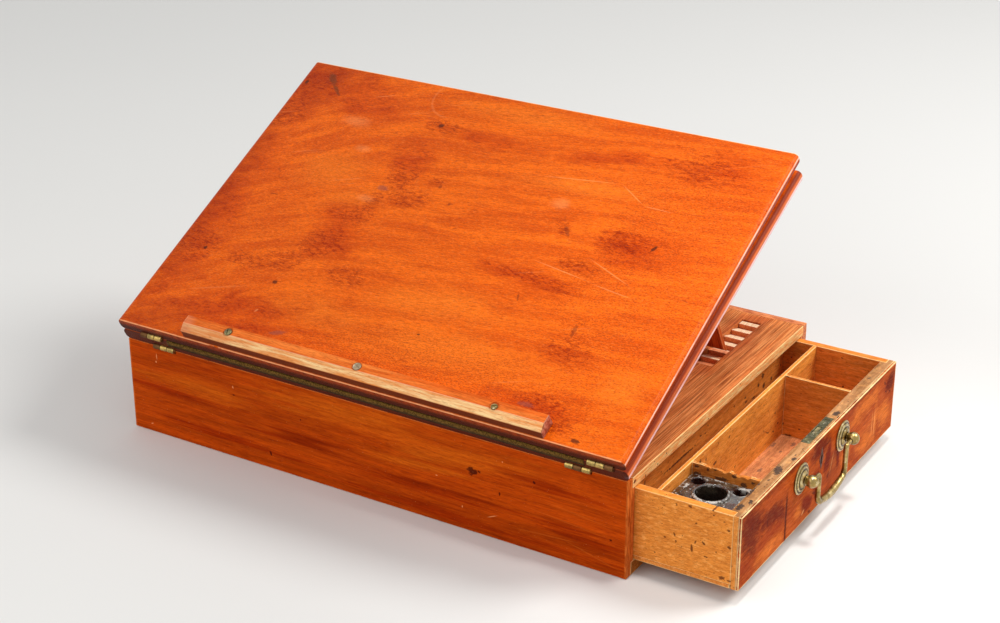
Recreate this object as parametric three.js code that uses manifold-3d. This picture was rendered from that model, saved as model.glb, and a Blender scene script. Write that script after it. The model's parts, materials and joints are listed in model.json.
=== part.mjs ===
// A portable writing desk of mahogany. A shallow case holds a drawer that draws out at its right end.
// Two boards are hinged one above the other on the front edge of the case. The lower board is propped
// up as a slope by a folding frame whose feet stand over notched strips, and the upper board, which
// carries a book ledge, unfolds towards the writer. Millimetres, +X towards the drawer's pull,
// +Y to the back, +Z up, with the origin at the centre of the case's underside.

import * as THREE from 'three';
import { mergeVertices } from 'three/addons/utils/BufferGeometryUtils.js';
import Module from 'manifold-3d';

const wasm = await Module();
wasm.setup();

// Case
const caseLength = 365.1;
const caseDepth = 247.6;
const caseHeight = 63.8;
const wallThickness = 8.3;
const topThickness = 7;
const bottomThickness = 8.8;
const rebateDepth = 2.8;

// Boards
const boardThickness = 8.6;
const boardSideOverhang = 1;
const boardFrontOverhang = 0.3;
const boardNosing = 3.4;
const boardEase = 0.7;
const leafGap = 0.6;
const baizeThickness = 0.9;
const baizeRecess = 0.6;
const baizeMargin = 13;
const hemDrop = 4.6;
const hemThickness = 0.6;
const hemBend = 1;

// Clearances
const seat = 0.3;
const glueLine = 0.15;
const running = 0.3;
const overrun = 2;
const weld = 0.001;

// Poses at rest
const slopeDegrees = 25.49;
const leafOpenDegrees = 1.3;
const propLeanDegrees = 61;
const drawerPull = 65.9;

// Brass butt hinges of the two boards
const hingeLength = 16.5;
const hingeLeafWidth = 7.4;
const hingeLeafThickness = 1;
const knuckleRadius = 2;
const hingePinRadius = 0.85;
const lowerHingeLeftInset = 30.55;
const lowerHingeRightInset = 31.95;
const upperHingeLeftInset = 24.15;
const upperHingeRightInset = 15.55;
const hingeBayMargin = 3;

// Prop frame and its notched strips
const propPivotSetback = 90.9;
const propPivotHeight = 2;
const propThickness = 3;
const propAbovePivot = 1.3;
const propLegWidth = 12.4;
const propLegInset = 31.8;
const propHead = 2.6;
const propToe = 5;
const propTopRail = 15;
const propLowRail = 11;
const propLowRailRise = 35.67;
const propTenon = 5;
const propTenonThickness = 1.2;
const propFootClearance = 0.6;
const pocketPlay = 0.6;
const pocketHeadroom = 0.3;
const pocketFootRelief = 1.5;
const propHingeInset = 55.75;
const propHingeLength = 15;
const propHingeLeafWidth = 7;
const propHingeLeafThickness = 0.7;
const propKnuckleRadius = 1.4;
const propPinRadius = 0.55;
const notchCount = 6;
const notchPitch = 11.4;
const notchDepth = 3.2;
const notchLand = 2;
const stripSetback = 17.1;
const stripWidth = 13.7;
const stripThickness = 5;
const stripSunk = 1;

// Book ledge
const ledgeLength = 261;
const ledgeCentreX = 1.5;
const ledgeSetback = 0.8;
const ledgeWidth = 11.7;
const ledgeHeight = 8.4;
const ledgeFrontHeight = 6.3;
const ledgeBevel = 4.6;
const ledgeBackLean = 0.6;
const ledgeNose = 0.7;
const ledgeScrewInset = 34.1;
const ledgeScrewCentreX = 1.6;
const ledgeScrewSetbacks = [7.6, 8.6, 7.3];
const screwHeadRadius = 3;
const screwHeadHeight = 1.2;
const screwShankRadius = 1.5;
const screwBite = 5.5;

// Drawer
const drawerHeadroom = 0.8;
const drawerSideRun = 0.4;
const drawerFootRun = 0.4;
const drawerBackRun = 0.6;
const facingThickness = 2;
const coreThickness = 6.8;
const drawerSideThickness = 5.5;
const drawerBackThickness = 5;
const sideLap = 2.9;
const floorThickness = 4.8;
const floorEdge = 2.4;
const floorLap = 3.5;
const dividerThickness = 2.5;
const partitionThickness = 2.2;
const compartmentWidth = 43.6;
const penTrayWidth = 20.4;
const inkCompartmentLength = 38.4;
const farCompartmentLength = 47.7;

// Glass inkwell
const inkwellPlay = 0.8;
const inkwellHeight = 35.6;
const inkwellChamfer = 2.2;
const wellRadius = 8.8;
const wellDepth = 26;
const wellFloorShare = 0.7;
const lipWidth = 2.3;
const lipHeight = 1.5;
const lipShoulderShare = 0.85;
const lipRootRadius = 0.4;
const penHoleRadius = 4.2;
const penHoleDepth = 15;
const penHoleFloorShare = 0.8;
const penHoleAside = 13.2;
const penHoleBehind = 11.2;

// Lock and escutcheon
const lockCentreY = 2.3;
const lockPlateLength = 37;
const lockPlateWidth = 5.7;
const lockPlateThickness = 1.2;
const lockCaseLength = 30;
const lockCaseThickness = 4.8;
const lockCaseHeight = 21;
const boltThickness = 2.4;
const boltWidth = 9;
const boltHeight = 13;
const boltThrow = 4;
const keyholeY = -3;
const keyholeSetDown = 13.8;
const keyholeRadius = 1.4;
const keyholeSlotWidth = 1.3;
const keyholeSlotDrop = 5;
const keyholeBite = 1.8;
const escutcheonHeight = 15;
const escutcheonWidth = 6.4;
const escutcheonThickness = 0.8;

// Bail handle
const handleY = -3;
const handleSetDown = 13.7;
const postSpacing = 62;
const rosetteRadius = 9.8;
const rosetteHeight = 3.4;
const postShankRadius = 1.8;
const postNeckRadius = 2.2;
const ballRadius = 4;
const ballStandOff = 7.2;
const nutWidth = 7.4;
const nutThickness = 2.2;
const postTail = 1;
const bailArmSpacing = 41;
const bailDrop = 20.4;
const bailBow = 3.6;
const bailEndRadius = 1.25;
const bailArmRadius = 1.45;
const bailGripRadius = 2.2;
const bailBendShare = 0.35;
const bailElbowRadius = 2.6;
const bailCornerRadius = 6.5;
const bailEndInBall = 2.4;

// Facets on round work
const roundSteps = 10;
const smallRoundSteps = 6;
const cornerSteps = 2;
const turnedSides = 28;
const ballSteps = 9;
const bailSides = 12;
const bailSteps = 56;

// Finishes
function finish(colour, roughness, metalness = 0) {
  return new THREE.MeshStandardMaterial({ color: colour, roughness, metalness });
}

const mahogany = () => finish('#b4521f', 0.42);
const redMahogany = () => finish('#8f3b1b', 0.45);
const fadedMahogany = () => finish('#a4643a', 0.6);
const lightWood = () => finish('#c98a45', 0.62);
const floorWood = () => finish('#c07a4e', 0.6);
const baize = () => finish('#4a4a26', 0.95);
const brass = () => finish('#a8925a', 0.38, 0.9);
const darkBrass = () => finish('#5d5a3c', 0.5, 0.8);
const darkHorn = () => finish('#2c1a14', 0.5);
const steel = () => finish('#6a6358', 0.45, 0.85);
const glass = () => finish('#55564c', 0.12, 0.05);

// Solids from geometries, joined and cut as closed bodies
function solid(geometry) {
  geometry.deleteAttribute('normal');
  geometry.deleteAttribute('uv');
  const merged = mergeVertices(geometry, weld);
  const corners = merged.index.array;
  const kept = [];
  for (let i = 0; i < corners.length; i += 3) {
    const [a, b, c] = [corners[i], corners[i + 1], corners[i + 2]];
    if (a !== b && b !== c && c !== a) kept.push(a, b, c);
  }
  const mesh = new wasm.Mesh({
    numProp: 3,
    vertProperties: new Float32Array(merged.attributes.position.array),
    triVerts: new Uint32Array(kept),
  });
  return new wasm.Manifold(mesh);
}

function geometryOf(body) {
  const { vertProperties, triVerts } = body.getMesh();
  const geometry = new THREE.BufferGeometry();
  geometry.setAttribute('position', new THREE.BufferAttribute(vertProperties, 3));
  geometry.setIndex(new THREE.BufferAttribute(triVerts, 1));
  const faceted = geometry.toNonIndexed();
  faceted.computeVertexNormals();
  return faceted;
}

function cut(body, ...cutters) {
  return cutters.reduce((left, cutter) => left.subtract(cutter), body);
}

function join(body, ...others) {
  return others.reduce((whole, other) => whole.add(other), body);
}

// Forms that most pieces are made from
function block([x0, y0, z0], [x1, y1, z1]) {
  const geometry = new THREE.BoxGeometry(x1 - x0, y1 - y0, z1 - z0);
  geometry.translate((x0 + x1) / 2, (y0 + y1) / 2, (z0 + z1) / 2);
  return solid(geometry);
}

function outline(points) {
  return new THREE.Shape(points.map(([across, up]) => new THREE.Vector2(across, up)));
}

function circle(across, up, radius) {
  return new THREE.Shape().absarc(across, up, radius, 0, 2 * Math.PI);
}

const unitX = new THREE.Vector3(1, 0, 0);
const unitY = new THREE.Vector3(0, 1, 0);
const unitZ = new THREE.Vector3(0, 0, 1);
const sectionFacingX = new THREE.Matrix4().makeBasis(unitY, unitZ, unitX);
const sectionFacingY = new THREE.Matrix4().makeBasis(unitX, unitZ, unitY.clone().negate());

function extruded(shape, depth, steps) {
  return new THREE.ExtrudeGeometry(shape, { depth, bevelEnabled: false, curveSegments: steps });
}

// A (Y, Z) outline run along X
function alongX(shape, from, to, steps = cornerSteps) {
  const geometry = extruded(shape, to - from, steps);
  geometry.applyMatrix4(sectionFacingX);
  geometry.translate(from, 0, 0);
  return solid(geometry);
}

// An (X, Z) outline run along Y
function alongY(shape, from, to, steps = cornerSteps) {
  const geometry = extruded(shape, to - from, steps);
  geometry.applyMatrix4(sectionFacingY);
  geometry.translate(0, to, 0);
  return solid(geometry);
}

// An (X, Y) outline run up Z
function alongZ(shape, from, to, steps = cornerSteps) {
  const geometry = extruded(shape, to - from, steps);
  geometry.translate(0, 0, from);
  return solid(geometry);
}

// A profile of [radius, height] pairs turned about the X axis through (y, z)
function turnedX(profile, x, y, z) {
  const points = profile.map(([radius, height]) => new THREE.Vector2(radius, height));
  const geometry = new THREE.LatheGeometry(points, turnedSides);
  geometry.rotateZ(-Math.PI / 2);
  geometry.translate(x, y, z);
  return solid(geometry);
}

// A profile of [radius, height] pairs turned about the vertical through (x, y)
function turnedZ(profile, x, y, z) {
  const points = profile.map(([radius, height]) => new THREE.Vector2(radius, height));
  const geometry = new THREE.LatheGeometry(points, turnedSides);
  geometry.rotateX(Math.PI / 2);
  geometry.translate(x, y, z);
  return solid(geometry);
}

// The assembly: fixed pieces in the desk's own frame, and one group for each thing that moves
const desk = new THREE.Group();
const drawer = new THREE.Group();
const lowerBoard = new THREE.Group();
const upperBoard = new THREE.Group();
const prop = new THREE.Group();

const slope = THREE.MathUtils.degToRad(slopeDegrees);
const propLean = THREE.MathUtils.degToRad(propLeanDegrees);
const halfLength = caseLength / 2;
const halfDepth = caseDepth / 2;
const boardLength = caseLength + 2 * boardSideOverhang;
const boardDepth = caseDepth + 2 * boardFrontOverhang;
const propPivotReach = boardDepth - propPivotSetback;
const propLegCentre = halfLength - propLegInset;
const boardUnder = seat / 2;
const boardTop = boardUnder + boardThickness;

drawer.position.x = drawerPull;
lowerBoard.position.set(0, -boardDepth / 2, caseHeight + seat / 2);
lowerBoard.rotation.x = slope;
upperBoard.position.z = boardTop + leafGap / 2;
upperBoard.rotation.x = THREE.MathUtils.degToRad(leafOpenDegrees);
prop.position.set(0, propPivotReach, propPivotHeight);
prop.rotation.x = -(propLean + slope);
lowerBoard.add(upperBoard, prop);
desk.add(drawer, lowerBoard);

function add(group, name, body, material) {
  const mesh = new THREE.Mesh(geometryOf(body), material);
  mesh.name = name;
  group.add(mesh);
}

// Butt hinges. Each is drawn about its own pin, which lies along X through (x, 0, 0). Its leaf runs
// to +Y, and side is 1 for a leaf let into wood above the pin and -1 for one below it.
function knuckles(length, outer) {
  const third = length / 6;
  const end = length / 2;
  if (!outer) return [[-third + running / 2, third - running / 2]];
  return [[-end, -third - running / 2], [third + running / 2, end]];
}

function hingeLeaf({ x, side, reach, outer, length, width, thickness, radius, pin, towards = 1 }) {
  const [low, high] = side > 0 ? [reach, reach + thickness] : [-reach - thickness, -reach];
  const [near, far] = towards > 0 ? [0, width] : [-width, 0];
  let leaf = block([x - length / 2, near, low], [x + length / 2, far, high]);
  for (const [from, to] of knuckles(length, !outer)) {
    const room = circle(0, 0, radius + running);
    leaf = cut(leaf, alongX(room, x + from - running, x + to + running, roundSteps));
  }
  for (const [from, to] of knuckles(length, outer)) {
    leaf = join(leaf, alongX(circle(0, 0, radius), x + from, x + to, roundSteps));
  }
  const bore = circle(0, 0, pin + running / 2);
  return cut(leaf, alongX(bore, x - length / 2 - overrun, x + length / 2 + overrun, smallRoundSteps));
}

function hingePin(x, length, radius) {
  return alongX(circle(0, 0, radius), x - length / 2, x + length / 2, smallRoundSteps);
}

// The bed for a leaf and its barrel in the wood that carries them
function hingeBed({ x, side, reach, length, width, thickness, radius, towards = 1 }) {
  const depth = reach + thickness + glueLine;
  const [low, high] = side > 0 ? [-overrun, depth] : [-depth, overrun];
  const [near, far] = towards > 0 ? [-overrun, width + running] : [-width - running, overrun];
  const ends = length / 2 + running;
  const bed = block([x - ends, near, low], [x + ends, far, high]);
  return join(bed, alongX(circle(0, 0, radius + running), x - ends, x + ends, roundSteps));
}

const boardHinge = {
  length: hingeLength,
  width: hingeLeafWidth,
  thickness: hingeLeafThickness,
  radius: knuckleRadius,
  pin: hingePinRadius,
};
const propHinge = {
  length: propHingeLength,
  width: propHingeLeafWidth,
  thickness: propHingeLeafThickness,
  radius: propKnuckleRadius,
  pin: propPinRadius,
  reach: propAbovePivot - propHingeLeafThickness,
  side: 1,
};
const lowerHinges = { left: lowerHingeLeftInset - halfLength, right: halfLength - lowerHingeRightInset };
const upperHinges = { left: upperHingeLeftInset - halfLength, right: halfLength - upperHingeRightInset };
const propHingeX = propLegCentre - propHingeInset;
const propHinges = { left: -propHingeX, right: propHingeX };

// Case: front, back and left walls, with the top and the bottom let into rebates in them
const topUnder = caseHeight - topThickness;
const rebateWall = wallThickness - rebateDepth;

function rebatedWall(outer, inward) {
  const inner = outer + inward * wallThickness;
  const shoulder = outer + inward * rebateWall;
  const points = [
    [outer, 0], [shoulder, 0], [shoulder, bottomThickness], [inner, bottomThickness],
    [inner, topUnder], [shoulder, topUnder], [shoulder, caseHeight], [outer, caseHeight],
  ];
  return outline(inward > 0 ? points : points.reverse());
}

function lowerHingeBeds() {
  return Object.values(lowerHinges).map((x) => {
    const bed = hingeBed({ ...boardHinge, x, side: -1, reach: seat / 2 });
    return bed.translate([0, -boardDepth / 2, caseHeight + seat / 2]);
  });
}

function buildCase() {
  const frontWall = alongX(rebatedWall(-halfDepth, 1), -halfLength, halfLength);
  add(desk, 'case_front', cut(frontWall, ...lowerHingeBeds()), mahogany());
  add(desk, 'case_back', alongX(rebatedWall(halfDepth, -1), -halfLength, halfLength), mahogany());
  const leftReach = halfDepth - wallThickness - glueLine;
  add(desk, 'case_left', alongY(rebatedWall(-halfLength, 1), -leftReach, leftReach), mahogany());

  const panelHalfDepth = halfDepth - rebateWall - glueLine;
  const panelLeft = -halfLength + rebateWall + glueLine;
  const panel = (low, high) => block([panelLeft, -panelHalfDepth, low], [halfLength, panelHalfDepth, high]);
  // The walls' shoulders stop the panels at their full height, so their faces stay a glue line apart.
  add(desk, 'case_bottom', panel(0, bottomThickness - glueLine), lightWood());
  const top = panel(topUnder + glueLine, caseHeight);
  const housings = [-1, 1].map((hand) => stripBlank(hand * propLegCentre, glueLine, overrun));
  add(desk, 'case_top', cut(top, ...lowerHingeBeds(), ...housings, boltMortise()), fadedMahogany());
  add(desk, 'ratchet_left', notchedStrip(-propLegCentre), lightWood());
  add(desk, 'ratchet_right', notchedStrip(propLegCentre), lightWood());
}

// The notched strips. Each notch ramps down from its land to an upright stop that faces the front,
// which takes the thrust of the prop's foot.
const stripBack = halfDepth - stripSetback;
const firstStopY = stripBack - notchDepth - notchLand - (notchCount - 1) * notchPitch;
const stripFront = firstStopY - notchPitch;
const stripTop = caseHeight - stripSunk;
const stripFoot = stripTop - stripThickness;

function stripBlank(x, growth, rise) {
  const half = stripWidth / 2 + growth;
  return block(
    [x - half, stripFront - growth, stripFoot - growth],
    [x + half, stripBack + growth, stripTop + rise],
  );
}

function notchedStrip(x) {
  const points = [[stripFront, stripFoot], [stripBack, stripFoot], [stripBack, stripTop]];
  for (let i = notchCount - 1; i >= 0; i -= 1) {
    const stop = firstStopY + i * notchPitch;
    points.push([stop, stripTop], [stop, stripTop - notchDepth], [stop - notchPitch + notchLand, stripTop]);
  }
  points.push([stripFront, stripTop]);
  return alongX(outline(points), x - stripWidth / 2, x + stripWidth / 2);
}

// Boards with a nosed edge at each end and an eased edge all round
function boardBlank(under) {
  const half = boardLength / 2 - boardEase;
  const low = under + boardEase;
  const high = under + boardThickness - boardEase;
  const nosing = boardNosing - boardEase;
  const section = new THREE.Shape();
  section.moveTo(-half + nosing, low);
  section.lineTo(half - nosing, low);
  section.absarc(half - nosing, low + nosing, nosing, -Math.PI / 2, 0, false);
  section.absarc(half - nosing, high - nosing, nosing, 0, Math.PI / 2, false);
  section.lineTo(-half + nosing, high);
  section.absarc(-half + nosing, high - nosing, nosing, Math.PI / 2, Math.PI, false);
  section.absarc(-half + nosing, low + nosing, nosing, Math.PI, 1.5 * Math.PI, false);
  const geometry = new THREE.ExtrudeGeometry(section, {
    depth: boardDepth - 2 * boardEase,
    curveSegments: cornerSteps,
    bevelThickness: boardEase,
    bevelSize: boardEase,
    bevelSegments: cornerSteps,
  });
  geometry.applyMatrix4(sectionFacingY);
  geometry.translate(0, boardDepth - boardEase, 0);
  return solid(geometry);
}

// The lining's outline, stepped back round the hinges and open to the front edge between them
function baizeOutline(inset) {
  const half = boardLength / 2 - baizeMargin - inset;
  const back = boardDepth - baizeMargin - inset;
  const bay = hingeLeafWidth + hingeBayMargin + inset;
  const left = baizeLeft + inset;
  const right = baizeRight - inset;
  const front = boardEase + inset;
  return outline([
    [left, front], [right, front], [right, bay], [half, bay], [half, back], [-half, back],
    [-half, bay], [left, bay],
  ]);
}

const baizeLeft = upperHinges.left + hingeLength / 2 + hingeBayMargin;
const baizeRight = upperHinges.right - hingeLength / 2 - hingeBayMargin;

function baizeBed(low, high) {
  const mouth = block([baizeLeft, -overrun, low], [baizeRight, 2 * boardEase, high]);
  return join(alongZ(baizeOutline(0), low, high), mouth);
}

// The lower lining is turned down over the board's front edge as a hem let into that edge.
function hemBed() {
  return block(
    [baizeLeft, -overrun, boardTop - hemDrop - glueLine],
    [baizeRight, hemThickness + glueLine, boardTop + overrun],
  );
}

function hem(low, high) {
  const section = new THREE.Shape();
  section.moveTo(hemThickness, boardTop - hemDrop);
  section.lineTo(hemThickness, low);
  section.lineTo(hemThickness + 2 * boardEase, low);
  section.lineTo(hemThickness + 2 * boardEase, high);
  section.lineTo(hemBend, high);
  section.absarc(hemBend, high - hemBend, hemBend, Math.PI / 2, Math.PI, false);
  section.lineTo(0, boardTop - hemDrop);
  return alongX(section, baizeLeft + glueLine, baizeRight - glueLine);
}

// The recess under the lower board that the folded prop lies in, deeper towards the feet
const propFoot = (seat / 2 + propPivotReach * Math.sin(slope) + propPivotHeight * Math.cos(slope)
  + propAbovePivot * Math.cos(propLean) - propFootClearance) / Math.sin(propLean);
const propBelowPivot = propThickness - propAbovePivot;
const propLowRailStart = propFoot - propLowRailRise;

function pocket(from, to, head, foot) {
  const ceiling = propPivotHeight + propAbovePivot + pocketHeadroom;
  const length = propFoot + pocketPlay;
  const rise = (reach) => ceiling + pocketFootRelief * Math.max(0, reach) / length;
  const start = propPivotReach + head;
  const end = propPivotReach + foot;
  const section = outline([
    [start, -overrun], [end, -overrun], [end, rise(foot)], [start, rise(head)],
  ]);
  return alongX(section, from, to);
}

function propPockets() {
  const headRoom = -Math.hypot(propHead, propBelowPivot);
  const legInner = propLegCentre - propLegWidth / 2 - pocketPlay;
  const legOuter = propLegCentre + propLegWidth / 2 + pocketPlay;
  const lowRailEnd = propLowRailStart + propLowRail + pocketPlay;
  return [
    pocket(-legOuter, -legInner, headRoom, propFoot + pocketPlay),
    pocket(legInner, legOuter, headRoom, propFoot + pocketPlay),
    pocket(-legInner - overrun, legInner + overrun, headRoom, propHead + propTopRail + pocketPlay),
    pocket(-legInner - overrun, legInner + overrun, propLowRailStart - pocketPlay, lowRailEnd),
  ];
}

function buildLowerBoard() {
  const underBeds = Object.values(lowerHinges)
    .map((x) => hingeBed({ ...boardHinge, x, side: 1, reach: seat / 2 }));
  const topBeds = Object.values(upperHinges)
    .map((x) => hingeBed({ ...boardHinge, x, side: -1, reach: leafGap / 2 })
      .translate([0, 0, boardTop + leafGap / 2]));
  const propBeds = Object.values(propHinges)
    .map((x) => hingeBed({ ...propHinge, x, towards: -1 })
      .translate([0, propPivotReach, propPivotHeight]));
  const bed = baizeBed(boardTop - baizeRecess, boardTop + overrun);
  const beds = [...underBeds, ...topBeds, ...propBeds, bed, hemBed()];
  const board = cut(boardBlank(boardUnder), ...beds, ...propPockets());
  add(lowerBoard, 'lower_board', board, redMahogany());

  const liningLow = boardTop - baizeRecess + glueLine;
  const liningHigh = boardTop + leafGap / 2 - glueLine;
  const sheet = alongZ(baizeOutline(glueLine), liningLow, liningHigh);
  add(lowerBoard, 'lower_baize', join(sheet, hem(liningLow, liningHigh)), baize());

  for (const [hand, x] of Object.entries(lowerHinges)) {
    const caseLeaf = hingeLeaf({ ...boardHinge, x, side: -1, reach: seat / 2, outer: true });
    const leafPlace = [0, -boardDepth / 2, caseHeight + seat / 2];
    add(desk, `case_hinge_leaf_${hand}`, caseLeaf.translate(leafPlace), brass());
    const boardLeaf = hingeLeaf({ ...boardHinge, x, side: 1, reach: seat / 2, outer: false });
    add(lowerBoard, `board_hinge_leaf_${hand}`, boardLeaf, brass());
    add(lowerBoard, `board_hinge_pin_${hand}`, hingePin(x, hingeLength, hingePinRadius), brass());
  }
}

function buildUpperBoard() {
  const under = leafGap / 2;
  const top = under + boardThickness;
  const beds = Object.values(upperHinges)
    .map((x) => hingeBed({ ...boardHinge, x, side: 1, reach: under }));
  const bed = baizeBed(-overrun, under + baizeRecess);
  const ledgeFoot = top + seat;
  const ledgeScrewPitch = ledgeLength / 2 - ledgeScrewInset;
  const screwSpots = ledgeScrewSetbacks
    .map((setback, i) => [ledgeScrewCentreX + (i - 1) * ledgeScrewPitch, setback]);
  const screwHole = ([x, setback], low, high) => alongZ(
    circle(x, setback, screwShankRadius + running), low, high, smallRoundSteps,
  );
  const pilots = screwSpots.map((spot) => screwHole(spot, top - screwBite - running, top + overrun));
  const board = cut(boardBlank(under), ...beds, bed, ...pilots);
  add(upperBoard, 'upper_board', board, mahogany());

  const liningHigh = under + baizeRecess - glueLine;
  add(upperBoard, 'upper_baize', alongZ(baizeOutline(glueLine), glueLine, liningHigh), baize());

  // The ledge's front face stands upright, and a worn bevel rises from it to a flat top.
  const back = ledgeSetback + ledgeWidth;
  const ledgeTop = ledgeFoot + ledgeHeight;
  const noseHeight = ledgeFoot + ledgeFrontHeight;
  const section = new THREE.Shape();
  section.moveTo(ledgeSetback, ledgeFoot);
  section.lineTo(back, ledgeFoot);
  section.lineTo(back - ledgeBackLean, ledgeTop);
  section.lineTo(ledgeSetback + ledgeBevel, ledgeTop);
  section.lineTo(ledgeSetback + ledgeNose, noseHeight);
  section.quadraticCurveTo(ledgeSetback, noseHeight, ledgeSetback, noseHeight - ledgeNose);
  const from = ledgeCentreX - ledgeLength / 2;
  const ledge = alongX(section, from, from + ledgeLength, smallRoundSteps);
  const holes = screwSpots.map((spot) => screwHole(spot, ledgeFoot - overrun, ledgeTop + overrun));
  add(upperBoard, 'ledge', cut(ledge, ...holes), fadedMahogany());

  const headRim = screwHeadHeight / 4;
  const screwFoot = top - screwBite;
  const headFoot = ledgeTop + glueLine;
  screwSpots.forEach(([x, setback], i) => {
    const profile = [
      [0, screwFoot], [screwShankRadius, screwFoot + screwShankRadius], [screwShankRadius, headFoot],
      [screwHeadRadius, headFoot], [screwHeadRadius, headFoot + headRim],
      [screwHeadRadius / 2, headFoot + screwHeadHeight - headRim / 2], [0, headFoot + screwHeadHeight],
    ];
    add(upperBoard, `ledge_screw_${i + 1}`, turnedZ(profile, x, setback, 0), steel());
  });

  for (const [hand, x] of Object.entries(upperHinges)) {
    const lowLeaf = hingeLeaf({ ...boardHinge, x, side: -1, reach: leafGap / 2, outer: true });
    const place = [0, 0, boardTop + leafGap / 2];
    add(lowerBoard, `leaf_hinge_lower_${hand}`, lowLeaf.translate(place), brass());
    const highLeaf = hingeLeaf({ ...boardHinge, x, side: 1, reach: leafGap / 2, outer: false });
    add(upperBoard, `leaf_hinge_upper_${hand}`, highLeaf, brass());
    add(upperBoard, `leaf_hinge_pin_${hand}`, hingePin(x, hingeLength, hingePinRadius), brass());
  }
}

// Prop: two legs joined by two tenoned rails, drawn folded flat with the pivot at the origin,
// the legs running to +Y and +Z into the board
function buildProp() {
  const low = -propBelowPivot;
  const high = propAbovePivot;
  const tenonLow = (low + high - propTenonThickness) / 2;
  const tenonHigh = tenonLow + propTenonThickness;
  const tenonInset = propTenonThickness;
  const legInner = propLegCentre - propLegWidth / 2;
  const legOuter = propLegCentre + propLegWidth / 2;
  const rails = {
    prop_top_rail: [propHead, propHead + propTopRail],
    prop_low_rail: [propLowRailStart, propLowRailStart + propLowRail],
  };
  const side = outline([[propHead, low], [propFoot - propToe, low], [propFoot, high], [propHead, high]]);
  const mortise = ([from, to], inner, outer) => block(
    [inner, from + tenonInset - glueLine, tenonLow - glueLine],
    [outer, to - tenonInset + glueLine, tenonHigh + glueLine],
  );
  const reach = legInner + propTenon + glueLine;
  for (const [hand, sign] of [['left', -1], ['right', 1]]) {
    const [from, to] = [sign * legInner, sign * legOuter].sort((a, b) => a - b);
    const [inner, outer] = [sign * (legInner - overrun), sign * reach].sort((a, b) => a - b);
    const mortises = Object.values(rails).map((span) => mortise(span, inner, outer));
    add(prop, `prop_leg_${hand}`, cut(alongX(side, from, to), ...mortises), redMahogany());
  }
  const railHalf = legInner - glueLine;
  const tenonHalf = legInner + propTenon;
  const leafBeds = Object.values(propHinges).map((x) => {
    const ends = propHingeLength / 2 + running;
    const bedFoot = propHinge.reach - glueLine;
    return block([x - ends, 0, bedFoot], [x + ends, propHingeLeafWidth + running, high + overrun]);
  });
  for (const [name, [from, to]] of Object.entries(rails)) {
    const tenon = block([-tenonHalf, from + tenonInset, tenonLow], [tenonHalf, to - tenonInset, tenonHigh]);
    const rail = join(block([-railHalf, from, low], [railHalf, to, high]), tenon);
    add(prop, name, cut(rail, ...leafBeds), redMahogany());
  }
  for (const [hand, x] of Object.entries(propHinges)) {
    const boardLeaf = hingeLeaf({ ...propHinge, x, outer: true, towards: -1 });
    const place = [0, propPivotReach, propPivotHeight];
    add(lowerBoard, `prop_hinge_board_leaf_${hand}`, boardLeaf.translate(place), brass());
    add(prop, `prop_hinge_leaf_${hand}`, hingeLeaf({ ...propHinge, x, outer: false }), brass());
    add(prop, `prop_hinge_pin_${hand}`, hingePin(x, propHingeLength, propPinRadius), brass());
  }
}

// Drawer, drawn shut and then pulled out by its group
const drawerHalf = halfDepth - wallThickness - drawerSideRun;
const drawerFoot = bottomThickness + drawerFootRun;
const drawerTop = topUnder - drawerHeadroom;
const keyholeZ = drawerTop - keyholeSetDown;
const handleZ = drawerTop - handleSetDown;
const facingX = halfLength;
const coreOuter = facingX - facingThickness;
const coreInner = coreOuter - coreThickness;
const drawerEnd = -halfLength + wallThickness + drawerBackRun;
const sideInner = drawerHalf - drawerSideThickness;
const wallFoot = drawerFoot + floorEdge + glueLine;
const floorTop = drawerFoot + floorThickness;
const postSpots = { near: handleY - postSpacing / 2, far: handleY + postSpacing / 2 };

function keyhole(from, to) {
  const slot = block(
    [from, keyholeY - keyholeSlotWidth / 2, keyholeZ - keyholeSlotDrop],
    [to, keyholeY + keyholeSlotWidth / 2, keyholeZ],
  );
  return join(alongX(circle(keyholeY, keyholeZ, keyholeRadius), from, to, smallRoundSteps), slot);
}

function lozenge(grow) {
  const halfHeight = escutcheonHeight / 2 + grow;
  const halfWidth = escutcheonWidth / 2 + grow;
  const middle = keyholeZ - keyholeSlotDrop / 4;
  return outline([
    [keyholeY, middle - halfHeight], [keyholeY + halfWidth, middle],
    [keyholeY, middle + halfHeight], [keyholeY - halfWidth, middle],
  ]);
}

function shankHoles(from, to) {
  return Object.values(postSpots)
    .map((y) => alongX(circle(y, handleZ, postShankRadius + glueLine), from, to, smallRoundSteps));
}

const boltX = coreInner + lockCaseThickness / 2;
const boltTop = drawerTop - glueLine;
const plateFoot = drawerTop - lockPlateThickness;

function boltBlock(grow, low, high) {
  return block(
    [boltX - boltThickness / 2 - grow, lockCentreY - boltWidth / 2 - grow, low],
    [boltX + boltThickness / 2 + grow, lockCentreY + boltWidth / 2 + grow, high],
  );
}

// The socket in the underside of the case's top that the bolt of the shut drawer rises into
function boltMortise() {
  return boltBlock(2 * running, topUnder - overrun, boltTop + boltThrow + running);
}

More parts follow.
